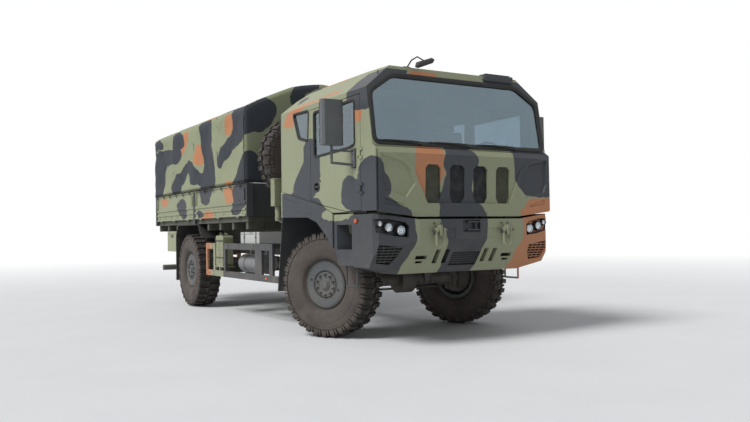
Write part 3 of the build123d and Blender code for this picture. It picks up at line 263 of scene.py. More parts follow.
def painted(name, shown, roughness, metallic=0.0, **wear):
    """A finish of one colour, mottled and weathered."""
    made, shader, place = new_finish(name, roughness, metallic)
    darker = colour(*(0.8 * c for c in shown))
    mottled = place.blend(darker, colour(*shown), place.noise(5.0, 5.0))
    weathered(place, shader, mottled, roughness, **wear)
    return made


def dress(finish, *nodes):
    """Gives CAD nodes their finish."""
    for name in nodes:
        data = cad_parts[name].data
        data.materials.clear()
        data.materials.append(finish)


frame_paint = painted("frame_paint", (62, 64, 64), 0.6, bare=(110, 96, 84), dust=0.8)
cast_paint = painted("cast_paint", (84, 86, 84), 0.55, dust=0.7)
dress(
    frame_paint,
    "chassis_frame", "front_axle", "rear_axle", "knuckle_right", "knuckle_left", "tie_rod",
    "spare_carrier", "tow_hook", "silencer", "fuel_tank",
)
dress(painted("spring_finish", (58, 56, 54), 0.5, 0.4, dust=0.9), "leaf_springs")
dress(cast_paint, "engine_block", "driveline", "radiator")


# Rims: pressed steel in dark slate paint, each with its ring of nuts, a hub cover and two
# valves; the flat disc is welded into the rim, and painted shadow fills the groove and the holes.
def piece(name, made, finish, body, smooth=None):
    """Makes an object of a bmesh and sets it on a body; edges over smooth degrees stay crisp."""
    data = bpy.data.meshes.new(name)
    made.to_mesh(data)
    made.free()
    if smooth is not None:
        data.shade_smooth()
        data.set_sharp_from_angle(angle=math.radians(smooth))
    data.materials.append(finish)
    shown = bpy.data.objects.new(name, data)
    scene.collection.objects.link(shown)
    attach(shown, body)
    return shown


def joined(target, made, matrix=None):
    """Sets a finished shape into another and frees it."""
    if matrix is not None:
        bmesh.ops.transform(made, matrix=matrix, verts=made.verts[:])
    data = bpy.data.meshes.new("shape")
    made.to_mesh(data)
    made.free()
    target.from_mesh(data)
    bpy.data.meshes.remove(data)


def on_wheel(centre, outward):
    """The place of a wheel whose axle is local Y, pointing outward."""
    outward = Vector(outward).normalized()
    sideways = outward.cross(Vector((0, 0, 1)))
    turn = Matrix((sideways, outward, Vector((0, 0, 1)))).transposed().to_4x4()
    return Matrix.Translation(centre) @ turn


def spun(made, rows, steps):
    """Spins a closed outline of (offset along the axle, radius) rows about local Y."""
    ring = [made.verts.new((0, offset, radius)) for offset, radius in rows]
    edges = [made.edges.new(pair) for pair in zip(ring, ring[1:] + ring[:1])]
    bmesh.ops.spin(
        made, geom=ring + edges, cent=(0, 0, 0), axis=(0, 1, 0),
        angle=math.tau, steps=steps, use_merge=True,
    )
    bmesh.ops.recalc_face_normals(made, faces=made.faces[:])


def pin(made, matrix, sides, radius, top, depth):
    """A round, six-sided or tapered pin about local Z."""
    bmesh.ops.create_cone(
        made, cap_ends=True, segments=sides,
        radius1=radius, radius2=top, depth=depth, matrix=matrix,
    )


def outboard(x, y, z):
    """A point on a wheel's face whose local Z looks out along the axle."""
    return Matrix.Translation((x, y, z)) @ Matrix.Rotation(-math.pi / 2, 4, "X")


WHEELS = [
    # name, body, centre, outward
    ("front_right", "wheel_front_right", (2.7485, -1.0056, 0.625), (0.43837, -0.89879, 0)),
    ("front_left", "wheel_front_left", (2.6065, 1.0056, 0.625), (-0.43837, 0.89879, 0)),
    ("rear_right", "wheel_rear_right", (-2.1525, -1.022, 0.625), (0, -1, 0)),
    ("rear_left", "wheel_rear_left", (-2.1525, 1.022, 0.625), (0, 1, 0)),
    ("spare", "chassis", (1.3175, -0.66, 2.25), (1, 0, 0)),
]
NUTS, NUT_CIRCLE = 10, 0.120
NUT_PARTS = [
    # sides, radius, top radius, depth, how far it is moved outboard: nut, stud, washer
    (6, 0.0155, 0.0155, 0.022, 0.0),
    (12, 0.009, 0.0075, 0.022, 0.018),
    (16, 0.021, 0.019, 0.004, -0.009),
]
VALVES = [
    # across, up, radius of the stem
    (0.2, 0.055, 0.005),
    (-0.19, -0.06, 0.004),
]
DISC = [
    # offset outboard, radius: flat disc with its groove, hub face, and the flange outside it
    (0.1165, 0.2420), (-0.1335, 0.2420), (-0.1335, 0.2860), (-0.1305, 0.2880), (-0.1205, 0.2880),
    (-0.1205, 0.2540), (0.1205, 0.2540), (0.1205, 0.2880), (0.1305, 0.2880), (0.1335, 0.2860),
    (0.1335, 0.1680), (0.1325, 0.1670), (0.1215, 0.1650), (0.1205, 0.1640), (0.1205, 0.1520),
    (0.1215, 0.1500), (0.1295, 0.1470), (0.1305, 0.1455), (0.1305, 0.0700), (0.1315, 0.0690),
    (0.1445, 0.0610), (0.1455, 0.0600), (0.1455, 0.0),
]
DRUM = [
    (-0.0890, 0.0), (-0.0890, 0.2020), (-0.0860, 0.2050), (0.0, 0.2050), (0.0030, 0.2020),
    (0.0030, 0.1500), (0.1165, 0.1500),
]
SPARE_HUB = [(0.0865, 0.0), (0.0865, 0.1500), (0.1165, 0.1500)]
COVER_RINGS = [
    # rows of the hub's cap, the flange's lip and the disc's inner lip, with their steps
    (
        [
            (0.141, 0.0), (0.141, 0.044), (0.1490, 0.047),
            (0.1545, 0.044), (0.1560, 0.036), (0.1560, 0.0),
        ],
        24,
    ),
    ([(0.128, 0.262), (0.1355, 0.2605), (0.1370, 0.2570), (0.1355, 0.2535), (0.128, 0.252)], 72),
    ([(0.128, 0.182), (0.1345, 0.1805), (0.1345, 0.1755), (0.128, 0.174)], 48),
]
# Near-black rings of painted shadow, round the disc's edge and in the groove by the hub
SHADOW_RINGS = [
    ([(0.1320, 0.2895), (0.1338, 0.2895), (0.1338, 0.2700), (0.1320, 0.2700)], 72),
    ([(0.1325, 0.1635), (0.1325, 0.1520), (0.1210, 0.1520), (0.1210, 0.1635)], 48),
]
rim_paint = painted("rim_paint", (74, 80, 85), 0.5, bare=(120, 122, 122), dust=0.4, worn=0.35)
rim_painted_shadow = painted("rim_painted_shadow", (24, 25, 27), 0.8, worn=0.0, dust=0.3)
nut_steel = painted("nut_steel", (88, 90, 90), 0.45, 0.4, dust=0.5, worn=0.3)
for name, body, centre, outward in WHEELS:
    place_on = on_wheel(centre, outward)

    def wheel_piece(kind, made, finish, smooth):
        bmesh.ops.transform(made, matrix=place_on, verts=made.verts[:])
        return piece(f"{kind}_{name}", made, finish, body, smooth)

    made = bmesh.new()
    spun(made, DISC + (SPARE_HUB if name == "spare" else DRUM), 96)
    replaced = "spare_rim" if name == "spare" else f"rim_{name}"
    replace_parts(wheel_piece("wheel_disc", made, rim_paint, 25), replaced)
    made = bmesh.new()
    for n in range(NUTS):
        seat = Matrix.Rotation(math.tau * n / NUTS, 4, "Y") @ outboard(0, 0.1415, NUT_CIRCLE)
        for sides, radius, top, depth, out in NUT_PARTS:
            pin(made, seat @ Matrix.Translation((0, 0, out)), sides, radius, top, depth)
    wheel_piece("wheel_nuts", made, nut_steel, 30)
    made = bmesh.new()
    for rows, steps in COVER_RINGS:
        spun(made, rows, steps)
    for x, z, wide in VALVES:
        pin(made, outboard(x, 0.142, z), 10, wide, wide * 0.8, 0.03)
    wheel_piece("hub_cover", made, rim_paint, 35)
    made = bmesh.new()
    for rows, steps in SHADOW_RINGS:
        spun(made, rows, steps)
    # dark discs of painted shadow stand for the holes by the valves
    for x, z, wide in VALVES:
        pin(made, outboard(x, 0.1337, z), 20, 0.016, 0.016, 0.002)
    wheel_piece("rim_shadow", made, rim_painted_shadow, 35)


# Tyres: moulded rubber carcass with rows of staggered lugs on the tread and shoulders, run
# in, worn pale on the lugs and dusty on the walls.
TYRE_ROWS = [
    # offset outboard, radius, from the bead over the wall to the middle of the tread
    (0.1200, 0.2545), (0.1200, 0.2930), (0.1310, 0.3010), (0.1420, 0.3120), (0.1560, 0.3200),
    (0.1590, 0.3270), (0.1640, 0.3330), (0.1700, 0.3480), (0.1800, 0.3850), (0.1860, 0.4200),
    (0.1875, 0.4520), (0.1870, 0.4560), (0.1845, 0.4580), (0.1848, 0.4640), (0.1850, 0.4860),
    (0.1838, 0.4880), (0.1838, 0.5020), (0.1820, 0.5040), (0.1790, 0.5280), (0.1750, 0.5330),
    (0.1700, 0.5400), (0.1590, 0.5600), (0.1420, 0.5790), (0.1180, 0.5900), (0.0600, 0.5960),
]
LUGS = 30
LUG_ROWS = [
    # share of a pitch on, half width round the tyre, inner and outer offset, radius of the base,
    # radius of the tip inside and outside, skew
    (0.0, 0.0330, 0.020, 0.1850, 0.560, 0.6250, 0.6110, 0.004),
    (0.5, 0.0130, 0.128, 0.1845, 0.560, 0.6010, 0.5930, 0.0),
    (0.5, 0.0110, 0.050, 0.1100, 0.570, 0.6080, 0.6060, 0.008),
]


def lug_corner(v, half, inner, outer, base, tip_in, tip_out, skew):
    """Where a corner of the block goes: (round the tyre, offset outboard, radius)."""
    at_tip, at_edge = v.co.z > 0, v.co.y > 0
    wide = half * (0.80 if at_tip else 1.0)
    reach = outer if at_edge else inner
    if at_tip:
        reach += -0.010 if at_edge else 0.004
        high = tip_out if at_edge else tip_in
    else:
        high = base - 0.024 if at_edge and outer > 0.15 else base
    return v.co.x * wide + skew * (1 if at_edge else -1), reach, high


def tyre(name, body, centre, outward, finish):
    made = bmesh.new()
    inboard = [(-offset, radius) for offset, radius in reversed(TYRE_ROWS)]
    spun(made, TYRE_ROWS + [(0.0, 0.5975)] + inboard, 96)
    for side in (1, -1):
        for share, *sizes in LUG_ROWS:
            lug = bmesh.ops.create_cube(made, size=2.0)["verts"]
            for v in lug:
                x, reach, high = lug_corner(v, *sizes)
                v.co = Vector((x, side * reach, high))
            edges = {e for v in lug for e in v.link_edges}
            crown = [e for e in edges if sum(v.co.z for v in e.verts) > 1.2]
            bevelled = bmesh.ops.bevel(
                made, geom=crown, offset=0.0035, segments=1,
                affect="EDGES", profile=0.5, material=-1,
            )
            shape = list({v for v in lug if v.is_valid} | set(bevelled["verts"]))
            faces = list({f for v in shape for f in v.link_faces})
            geom = shape + list({e for f in faces for e in f.edges}) + faces
            start = math.tau * ((share if side > 0 else share + 0.5) % 1) / LUGS
            turn = Matrix.Rotation(start, 3, "Y")
            bmesh.ops.rotate(made, cent=(0, 0, 0), matrix=turn, verts=shape)
            bmesh.ops.spin(
                made, geom=geom, cent=(0, 0, 0), axis=(0, 1, 0),
                angle=math.tau * (LUGS - 1) / LUGS, steps=LUGS - 1, use_duplicate=True,
            )
    reach = made.verts.layers.float.new("reach")
    for v in made.verts:
        v[reach] = math.hypot(v.co.x, v.co.z)
    bmesh.ops.recalc_face_normals(made, faces=made.faces[:])
    bmesh.ops.transform(made, matrix=on_wheel(centre, outward), verts=made.verts[:])
    return piece(f"tyre_rubber_{name}", made, finish, body, 28)


rubber, shader, place = new_finish("tyre_rubber", 0.85)
reach = place.node("Attribute", {"attribute_name": "reach"}, None, 2)
wall = reach.span(0.60, 0.57) * 0.75 + 0.22
wiped = place.noise(4.0, 5.0).span(0.35, 0.70).span(0, 1, 0.55, 1.0)
tread = reach.span(0.6205, 0.6235) * place.noise(30.0, 3.0).span(0.35, 0.65) * 0.6
shown = place.blend(colour(40, 38, 37), colour(88, 80, 74), wall * wiped)
shown = shown.mix(colour(112, 102, 92), tread)
feed(
    shader,
    base_color=shown.vector("SCALE", scale=place.noise(60.0, 4.0).span(0.2, 0.8, 0.85, 1.12)),
    roughness=place.noise(9.0, 3.0).span(0.3, 0.7, 0.78, 0.95),
    normal=place.bump(place.noise(260.0, 3.0) + place.noise(30.0, 3.0) * 2.0, 0.0012),
)
for name, body, centre, outward in WHEELS:
    replaced = "spare_tyre" if name == "spare" else f"tyre_{name}"
    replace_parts(tyre(name, body, centre, outward, rubber), replaced)


# Camouflage: a green base coat with brown and then black fields sprayed on by hand, over the
# cab's pressed shell, its doors, steps and front.
def field(place, squash, strokes):
    """Distance to the nearest stroke, below zero inside; a stroke is (x, y, z, radius) rows."""
    near = None
    squash = Vector(squash)
    place = place.vector("MULTIPLY", squash)
    for stroke in strokes:
        for start, end in zip(stroke, stroke[1:] or stroke):
            first = Vector(start[:3]) * squash
            run = Vector(end[:3]) * squash - first
            offset = place.vector("SUBTRACT", first)
            if run.length > 0:
                share = offset.vector("DOT_PRODUCT", run / run.length_squared, out=1)
                share = share.most(0.0).least(1.0)
                back = share.node("VectorMath", {"operation": "SCALE"}, {0: -run, 3: share})
                gap = back.vector("ADD", offset).vector("LENGTH", out=1)
                gap = share.math("MULTIPLY_ADD", start[3] - end[3], gap) - start[3]
            else:
                gap = offset.vector("LENGTH", out=1) - start[3]
            near = near.least(gap) if near else gap
    return near


def flank(y, *strokes):
    """Strokes on an upright side at one distance y, each a row of (x, z, radius)."""
    return [[(x, y, z, radius) for x, z, radius in stroke] for stroke in strokes]


GREEN, BROWN, BLACK = colour(138, 143, 115), colour(178, 120, 82), colour(45, 50, 57)
EDGE_SHARPNESS = -160
FIELD_SHARE, FIELD_SLOPE, OUT_OF_THE_WAY = 0.56, 1.6, 4.0


def camouflage(name, brown, black, over, unseen, roughness, **wear):
    """Three colours from stroke tables; where unseen is 1 the fields come from wide noise."""
    made, shader, place = new_finish(name, roughness)
    shake = place.noise(2.6, 3.0, 1)
    shake = shake.vector("MULTIPLY_ADD", (0.16, 0.16, 0.16), (-0.08, -0.08, -0.08))
    shaken = place.vector("MULTIPLY_ADD", (1, 1, 1), shake)
    hidden = unseen(place)
    black_blobs = place.vector("ADD", (4.1, 2.3, 7.7)).noise(0.75, 1.0)
    brown_blobs = place.vector("ADD", (9.7, 5.1, 1.3)).noise(0.7, 1.0)
    coat = None
    for shade, table, blobs in ((BROWN, brown, brown_blobs), (BLACK, black, black_blobs)):
        gap = (FIELD_SHARE - blobs) * FIELD_SLOPE + (1 - hidden) * OUT_OF_THE_WAY
        for squash, strokes in table:
            gap = gap.least(field(shaken, squash, strokes) + hidden * OUT_OF_THE_WAY)
        coat = place.blend(coat or GREEN, shade, (gap * EDGE_SHARPNESS).clamp())
    for squash, strokes in over:
        coat = coat.mix(GREEN, (field(shaken, squash, strokes) * EDGE_SHARPNESS).clamp())
    weathered(place, shader, coat, roughness, **wear)
    return made


def cab_unseen(place):
    """1 on the cab's left side, roof and back, which the photo doesn't show."""
    left = place.part("y").span(0.9, 1.0).least(place.part("x").span(3.89, 3.85))
    return left.most(place.part("z").span(3.0, 3.04)).most(place.part("x").span(1.84, 1.80))


CAB_SIDE = (0.45, 0.9, 1.0)
FRONT = (0.3, 0.85, 1.0)
cab_paint = camouflage(
    "cab_camouflage",
    brown=[
        (CAB_SIDE, [
            [
                (2.04, -1.21, 2.62, 0.065), (2.10, -1.21, 2.73, 0.07),
                (2.45, -1.19, 2.82, 0.055), (3.20, -1.15, 2.88, 0.045),
            ],
            [(3.80, -1.21, 2.50, 0.05), (3.80, -1.21, 2.44, 0.04)],
        ]),
        (FRONT, [
            [
                (4.16, -0.51, 2.07, 0.16), (4.16, -0.52, 1.90, 0.16),
                (4.16, -0.54, 1.78, 0.13), (4.16, -0.56, 1.66, 0.07),
            ],
            [(4.16, 0.92, 1.47, 0.10), (4.16, 1.14, 1.48, 0.10)],
            [(4.16, 0.80, 1.42, 0.06)],
            [
                (4.12, 1.04, 1.32, 0.25), (4.10, 1.02, 1.12, 0.25),
                (4.00, 1.04, 0.95, 0.28), (3.95, 1.04, 0.80, 0.30),
            ],
            [(3.95, -0.53, 3.00, 0.085), (3.95, -0.33, 3.00, 0.075)],
        ]),
    ],
    black=[
        (CAB_SIDE, [
            *flank(
                -1.21,
                [(2.66, 2.26, 0.09), (2.65, 2.10, 0.10), (2.58, 1.92, 0.14), (2.50, 1.80, 0.17)],
                [(2.15, 1.72, 0.05), (2.60, 1.72, 0.08)],
            ),
            *flank(
                -1.23,
                [(1.95, 1.58, 0.19), (2.60, 1.52, 0.15), (2.90, 1.44, 0.10), (3.14, 1.22, 0.13)],
            ),
            *flank(
                -1.21,
                [(3.62, 1.77, 0.09), (3.68, 1.60, 0.13)],
                [(3.97, 1.94, 0.09), (4.20, 1.90, 0.11)],
                [(3.78, 1.72, 0.12), (4.00, 1.72, 0.20)],
                [(3.75, 1.53, 0.10), (4.10, 1.55, 0.12)],
                [(3.50, 1.08, 0.22), (3.46, 0.86, 0.20), (3.40, 1.28, 0.12)],
            ),
            *flank(-1.15, [(3.38, 0.70, 0.18), (3.63, 0.70, 0.18)]),
            *flank(1.15, [(3.38, 0.70, 0.18), (3.63, 0.70, 0.18)]),
            *flank(-1.05, [(2.10, 2.93, 0.06)], [(3.85, 2.93, 0.16)]),
        ]),
        (FRONT, [
            [
                (4.16, -0.12, 2.10, 0.16), (4.16, -0.10, 1.98, 0.20), (4.16, -0.12, 1.84, 0.17),
                (4.16, -0.17, 1.67, 0.18), (4.16, -0.16, 1.52, 0.24), (4.16, -0.13, 1.42, 0.28),
            ],
            [
                (4.16, 0.95, 2.05, 0.25), (4.16, 0.93, 1.85, 0.24),
                (4.16, 1.02, 1.75, 0.17), (4.16, 1.14, 1.68, 0.10),
            ],
            [
                (4.16, -1.22, 1.86, 0.12), (4.16, -1.22, 1.66, 0.11),
                (4.16, -1.16, 1.53, 0.11), (4.16, -0.96, 1.46, 0.07),
            ],
            [
                (4.13, -1.05, 1.33, 0.23), (4.12, -1.00, 1.20, 0.22),
                (4.05, -1.03, 1.00, 0.22), (3.95, -1.08, 0.80, 0.22),
            ],
            [
                (3.95, -1.24, 2.64, 0.12), (3.95, -1.12, 2.88, 0.13),
                (3.95, -0.90, 3.01, 0.12), (3.95, -0.74, 3.01, 0.08),
            ],
            [
                (3.90, 0.52, 3.04, 0.13), (3.90, 0.90, 3.04, 0.15),
                (3.92, 1.12, 2.90, 0.15), (3.95, 1.18, 2.80, 0.14),
            ],
            [
                (4.17, -0.08, 1.36, 0.27), (4.17, -0.04, 1.10, 0.225),
                (4.05, -0.045, 0.93, 0.215), (3.93, -0.10, 0.78, 0.20),
            ],
        ]),
    ],
    over=[(CAB_SIDE, flank(-1.21, [(3.03, 1.45, 0.05), (3.37, 1.42, 0.05)]))],
    unseen=cab_unseen,
    roughness=0.55,
    dust=0.35,
    worn=0.35,
)
dress(cab_paint, "cab_shell", "door_right", "door_left", "cab_steps")
dress(painted("mudguard_paint", (56, 61, 67), 0.6, dust=0.4), "front_mudguards")


# Windows: flat safety glass let into black rubber profiles, which are pressed round the edge
# of each opening; the panes' tints are painted reflection, the windscreen the darker one.
def rounded(corners, radius, steps=4):
    """An outline with its corners cut back to short curves."""
    corners = [Vector(corner) for corner in corners]
    points = []
    for before, corner, after in zip(corners[-1:] + corners, corners, corners[1:] + corners[:1]):
        start = corner + (before - corner).normalized() * radius
        end = corner + (after - corner).normalized() * radius
        for k in range(steps + 1):
            share = k / steps
            points.append(start.lerp(corner, share).lerp(corner.lerp(end, share), share))
    return points


def shifted(corners, shift):
    """An outline moved outwards square to its sides."""
    corners = [Vector(corner) for corner in corners]
    turn = sum(a.x * b.y - b.x * a.y for a, b in zip(corners, corners[1:] + corners[:1]))
    way = 1 if turn > 0 else -1
    moved = []
    for before, corner, after in zip(corners[-1:] + corners, corners, corners[1:] + corners[:1]):
        first, second = (corner - before).normalized(), (after - corner).normalized()
        first = Vector((first.y, -first.x)) * way
        second = Vector((second.y, -second.x)) * way
        moved.append(corner + (first + second) / (1 + first.dot(second)) * shift)
    return moved


def strip(made, corners, rows, place):
    """Leads a profile round an outline: rows are (shift outwards, height above the surface)."""
    rings = [
        [made.verts.new(place(at.x, at.y, height)) for at in shifted(corners, shift)]
        for shift, height in rows
    ]
    for a, b in zip(rings, rings[1:] + rings[:1]):
        for n in range(len(a)):
            made.faces.new((a[n - 1], a[n], b[n], b[n - 1]))
    bmesh.ops.recalc_face_normals(made, faces=made.faces[:])


def on_screen(y, z, height):
    """A point over the windscreen, which leans back by 0.17175 in 1."""
    return Vector((4.0775 - (z - 2.15) * 0.17175 + 0.9856 * height, y, z + 0.1693 * height))


def on_side(side, y=1.21):
    """Sets a profile on an upright side, its height counted outwards."""
    return lambda x, z, height: Vector((x, side * (y + height), z))


def facing_x(x, way=1):
    """Sets a profile on a plane across the truck, its height counted forward or back."""
    return lambda y, z, height: Vector((x + way * height, y, z))


def safety_glass(name, metallic, darker, paler):
    made, shader, place = new_finish(name, 0.02, metallic)
    shader.inputs["Transmission Weight"].default_value = 1.0
    shader.inputs["IOR"].default_value = 1.3
    tint = place.blend(colour(*darker), colour(*paler), place.noise(1.5))
    feed(shader, base_color=tint, roughness=place.noise(5.0, 4.0) * 0.04)
    return made


SIDES = ((-1, "right"), (1, "left"))
SCREEN = [
    (-1.165, 2.19), (-1.16, 2.722), (-0.867, 2.919),
    (0.867, 2.919), (1.16, 2.722), (1.165, 2.19),
]
QUARTER = [(2.1715, 2.712), (2.5875, 2.702), (2.5605, 2.353), (2.3105, 2.412)]
DOOR_PANE = [(2.7375, 2.14), (2.7375, 2.66), (3.6975, 2.665), (3.6975, 2.19), (3.5775, 2.17)]
PROFILE = [
    (0.038, -0.002), (0.036, 0.008), (0.026, 0.013), (0.004, 0.011),
    (-0.014, 0.004), (-0.016, -0.010), (0.0, -0.010),
]
SLIM_PROFILE = [(shift * 0.6, height * 0.6) for shift, height in PROFILE]
# The glass tints are painted sky reflection: blue-grey on the windscreen, pale on the side panes
dress(safety_glass("window_glass", 0.35, (150, 170, 182), (164, 182, 192)), "windscreen")
side_glass = safety_glass("side_glass", 0.15, (196, 214, 224), (206, 222, 230))
dress(side_glass, "cab_side_glass", "door_glass_right", "door_glass_left")
rubber_black = painted(
    "rubber_black", (22, 23, 25), 0.7, dust=0.25, worn=0.0, grain=(400.0, 0.0003),
)
made = bmesh.new()
strip(made, rounded(SCREEN, 0.06), PROFILE, on_screen)
for side, name in SIDES:
    strip(made, rounded(QUARTER, 0.03), SLIM_PROFILE, on_side(side))
piece("window_rubbers", made, rubber_black, "chassis", 40)
for side, name in SIDES:
    made = bmesh.new()
    strip(made, rounded(DOOR_PANE, 0.035), SLIM_PROFILE, on_side(side))
    piece(f"door_rubber_{name}", made, rubber_black, f"door_{name}", 40)


# Doors: pressed steel, each with a sunk handle in a moulded bowl, its lock, and a folding
# mirror arm on two studs with flat glass at the back of the head.
def boxy(made, low, high, bevel=0.0, segments=2):
    """A box between two corners with rounded edges."""
    low, high = Vector(low), Vector(high)
    verts = bmesh.ops.create_cube(made, size=1.0)["verts"]
    for v in verts:
        v.co = Vector([(a + b) / 2 + c * (b - a) for a, b, c in zip(low, high, v.co)])
    if bevel:
        edges = list({e for v in verts for e in v.link_edges})
        verts = bmesh.ops.bevel(
            made, geom=edges, offset=bevel, segments=segments,
            affect="EDGES", profile=0.5, material=-1,
        )["verts"]
    return verts


def sided(made, side, x, y, z, bevel=0.0, segments=2):
    """A box between two values each of x, y and z, its y counted outwards on one side."""
    low, high = sorted((side * y[0], side * y[1]))
    return boxy(made, (x[0], low, z[0]), (x[1], high, z[1]), bevel, segments)


def stud(made, at, way, radius, depth, segments=12, top=None):
    """A short round or six-sided pin standing on a point."""
    way = Vector(way).normalized()
    turn = way.to_track_quat("Z", "Y").to_matrix().to_4x4()
    seat = Matrix.Translation(Vector(at) + way * depth / 2) @ turn
    pin(made, seat, segments, radius, top or radius, depth)


def bolts(made, spots, way, radius, depth, segments=6):
    """Like bolt heads or rivets on several points."""
    for at in spots:
        stud(made, at, way, radius, depth, segments)


BOWL = [(2.7375, 1.735), (2.7375, 1.82), (2.8525, 1.82), (2.8525, 1.735)]
BOWL_EDGE = [(0.020, -0.001), (0.018, 0.004), (0.006, 0.007), (-0.001, 0.004), (-0.001, -0.001)]
MIRROR_BACK = 3.5974
MIRROR_EDGE = [(0.004, 0.0), (0.004, 0.006), (-0.006, 0.008), (-0.010, 0.0)]
trim_black = painted("trim_black", (40, 41, 43), 0.6, dust=0.3, worn=0.1)
dress(trim_black, "steering_wheel", "rear_mudguards")
mirror_shell = painted("mirror_shell", (92, 96, 98), 0.5, dust=0.3, worn=0.1)
dress(mirror_shell, "mirror_right", "mirror_left")
mirror_glass, shader, place = new_finish("mirror_glass", 0.05, 1.0)
silvered = place.blend(colour(190, 196, 200), colour(204, 208, 210), place.noise(3.0))
feed(shader, base_color=silvered, roughness=place.noise(8.0) * 0.08)
for side, name in SIDES:
    body, out = f"door_{name}", (0, side, 0)
    made = bmesh.new()
    strip(made, rounded(BOWL, 0.04), BOWL_EDGE, on_side(side))
    sided(made, side, (2.748, 2.838), (1.196, 1.216), (1.764, 1.792), 0.005)
    stud(made, (2.885, side * 1.2095, 1.84), out, 0.012, 0.004, 20)
    piece(f"door_handle_{name}", made, trim_black, body, 35)
    made = bmesh.new()
    for z in ((2.38, 2.635), (2.195, 2.36)):
        sided(made, side, (3.5938, 3.5968), (1.352, 1.566), z, 0.001, 1)
    piece(f"mirror_glass_{name}", made, mirror_glass, body, 35)
    made = bmesh.new()
    low, high = sorted((side * 1.345, side * 1.573))
    for z0, z1 in ((2.373, 2.642), (2.188, 2.367)):
        frame_line = rounded([(low, z0), (low, z1), (high, z1), (high, z0)], 0.018)
        strip(made, frame_line, MIRROR_EDGE, facing_x(MIRROR_BACK, -1))
    sided(made, side, (3.668, 3.732), (1.2095, 1.2345), (1.928, 1.942), 0.004)
    bolts(made, [(3.70, side * 1.232, z) for z in (1.965, 2.0, 2.075, 2.12)], out, 0.008, 0.005)
    piece(f"mirror_trim_{name}", made, trim_black, body, 35)


# Front flap: one pressing with a sunk middle panel, a drafted pocket beside it on each hand and
# four deep slots closed by wire mesh; it hangs on the cab under the windscreen.
def lofted(made, rings):
    """A closed shape over a row of outlines that have the same number of corners."""
    rings = [[made.verts.new(corner) for corner in ring] for ring in rings]
    faces = []
    for a, b in zip(rings, rings[1:]):
        for n in range(len(a)):
            faces.append(made.faces.new((a[n - 1], a[n], b[n], b[n - 1])))
    faces.append(made.faces.new(rings[0]))
    faces.append(made.faces.new(rings[-1][::-1]))
    bmesh.ops.recalc_face_normals(made, faces=faces)


def combined(first, second, operation):
    """Cuts, joins or crosses two closed shapes; frees both and returns what is left."""
    helpers = []
    for made in (first, second):
        data = bpy.data.meshes.new("blank")
        made.to_mesh(data)
        made.free()
        helpers.append(bpy.data.objects.new("blank", data))
        scene.collection.objects.link(helpers[-1])
    step = helpers[0].modifiers.new("cut", "BOOLEAN")
    step.operation, step.solver = operation, "EXACT"
    step.object, step.use_self = helpers[1], True
    graph = bpy.context.evaluated_depsgraph_get()
    left = bpy.data.meshes.new_from_object(helpers[0].evaluated_get(graph))
    result = bmesh.new()
    result.from_mesh(left)
    old = [helper.data for helper in helpers] + [left]
    for helper in helpers:
        bpy.data.objects.remove(helper)
    for data in old:
        bpy.data.meshes.remove(data)
    return result


def node_shape(node):
    """A merged copy of a CAD node's mesh."""
    made = bmesh.new()
    made.from_mesh(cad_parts[node].data)
    bmesh.ops.remove_doubles(made, verts=made.verts[:], dist=0.00001)
    return made


FLAP_X, FLAP_TOP = 4.1555, 2.127
PANEL_FOOT, PANEL_SINK = 1.537, 0.028
PANEL = [(-1.186, 2.130), (-0.865, 2.020), (-0.745, 1.910), (-0.670, 1.750), (-0.579, PANEL_FOOT)]
POCKET = [
    (-1.150, 2.048), (-0.884, 1.984), (-0.776, 1.888), (-0.724, 1.745),
    (-0.842, 1.598), (-1.105, 1.664), (-1.150, 1.760),
]
FOOT_POCKET = [(-1.120, 1.590), (-0.870, 1.524), (-0.880, 1.494), (-1.120, 1.530)]
SLOTS = [n * 0.325 for n in (-1.5, -0.5, 0.5, 1.5)]
SLOT_HALF, SLOT_BACK, AHEAD_OF_FLAP = 0.0995, 4.1135, 4.160
SLOT_OUTLINE = [
    # across from the slot's middle, height
    (-0.062, 1.540), (0.062, 1.540), (0.100, 1.6008), (0.100, 1.919),
    (0.062, 1.957), (-0.062, 1.957), (-0.100, 1.919), (-0.100, 1.6008),
]
WIRE_HALF, WIRE_PITCH = 0.0016, 0.012
cut = bmesh.new()
whole = PANEL + [(-y, z) for y, z in reversed(PANEL)]
slope = PANEL_SINK / (FLAP_TOP - PANEL_FOOT)
lofted(cut, [
    [(AHEAD_OF_FLAP, y, z) for y, z in whole],
    [(FLAP_X - slope * (FLAP_TOP - z) - 0.00005, y, z) for y, z in whole],
])
flap = combined(node_shape("front_flap"), cut, "DIFFERENCE")
for outline, depth in ((POCKET, 0.022), (FOOT_POCKET, 0.012)):
    for side in (1, -1):
        corners = [(side * y, z) for y, z in outline]
        cut = bmesh.new()
        lofted(cut, [
            [(FLAP_X + 0.002, c.x, c.y) for c in shifted(corners, 0.0017)],
            [(FLAP_X - depth, c.x, c.y) for c in shifted(corners, -depth * 0.6)],
        ])
        flap = combined(flap, cut, "DIFFERENCE")
cut = bmesh.new()
for middle in SLOTS:
    outline = shifted([(middle + y, z) for y, z in SLOT_OUTLINE], -0.0005)
    lofted(cut, [[(x, c.x, c.y) for c in outline] for x in (AHEAD_OF_FLAP, SLOT_BACK)])
flap = combined(flap, cut, "DIFFERENCE")
# Near-black sheets of painted shade close the slots and grilles from behind
painted_shade_black = painted("painted_shade_black", (16, 17, 18), 0.9, dust=0.2, worn=0.0)
# The mesh takes the camouflage's green and black; its green is a darker copy, painted shade deep in
# the slots
shaded_mesh_paint, shader, place = new_finish("shaded_mesh_paint", 0.7)
in_black = place.part("y").span(-0.42, -0.38) - place.part("y").span(0.30, 0.34)
weathered(place, shader, place.blend(colour(104, 108, 88), colour(44, 48, 53), in_black), 0.7)
pressing = piece("flap_pressing", flap, cab_paint, "front_flap")
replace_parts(pressing, "front_flap")
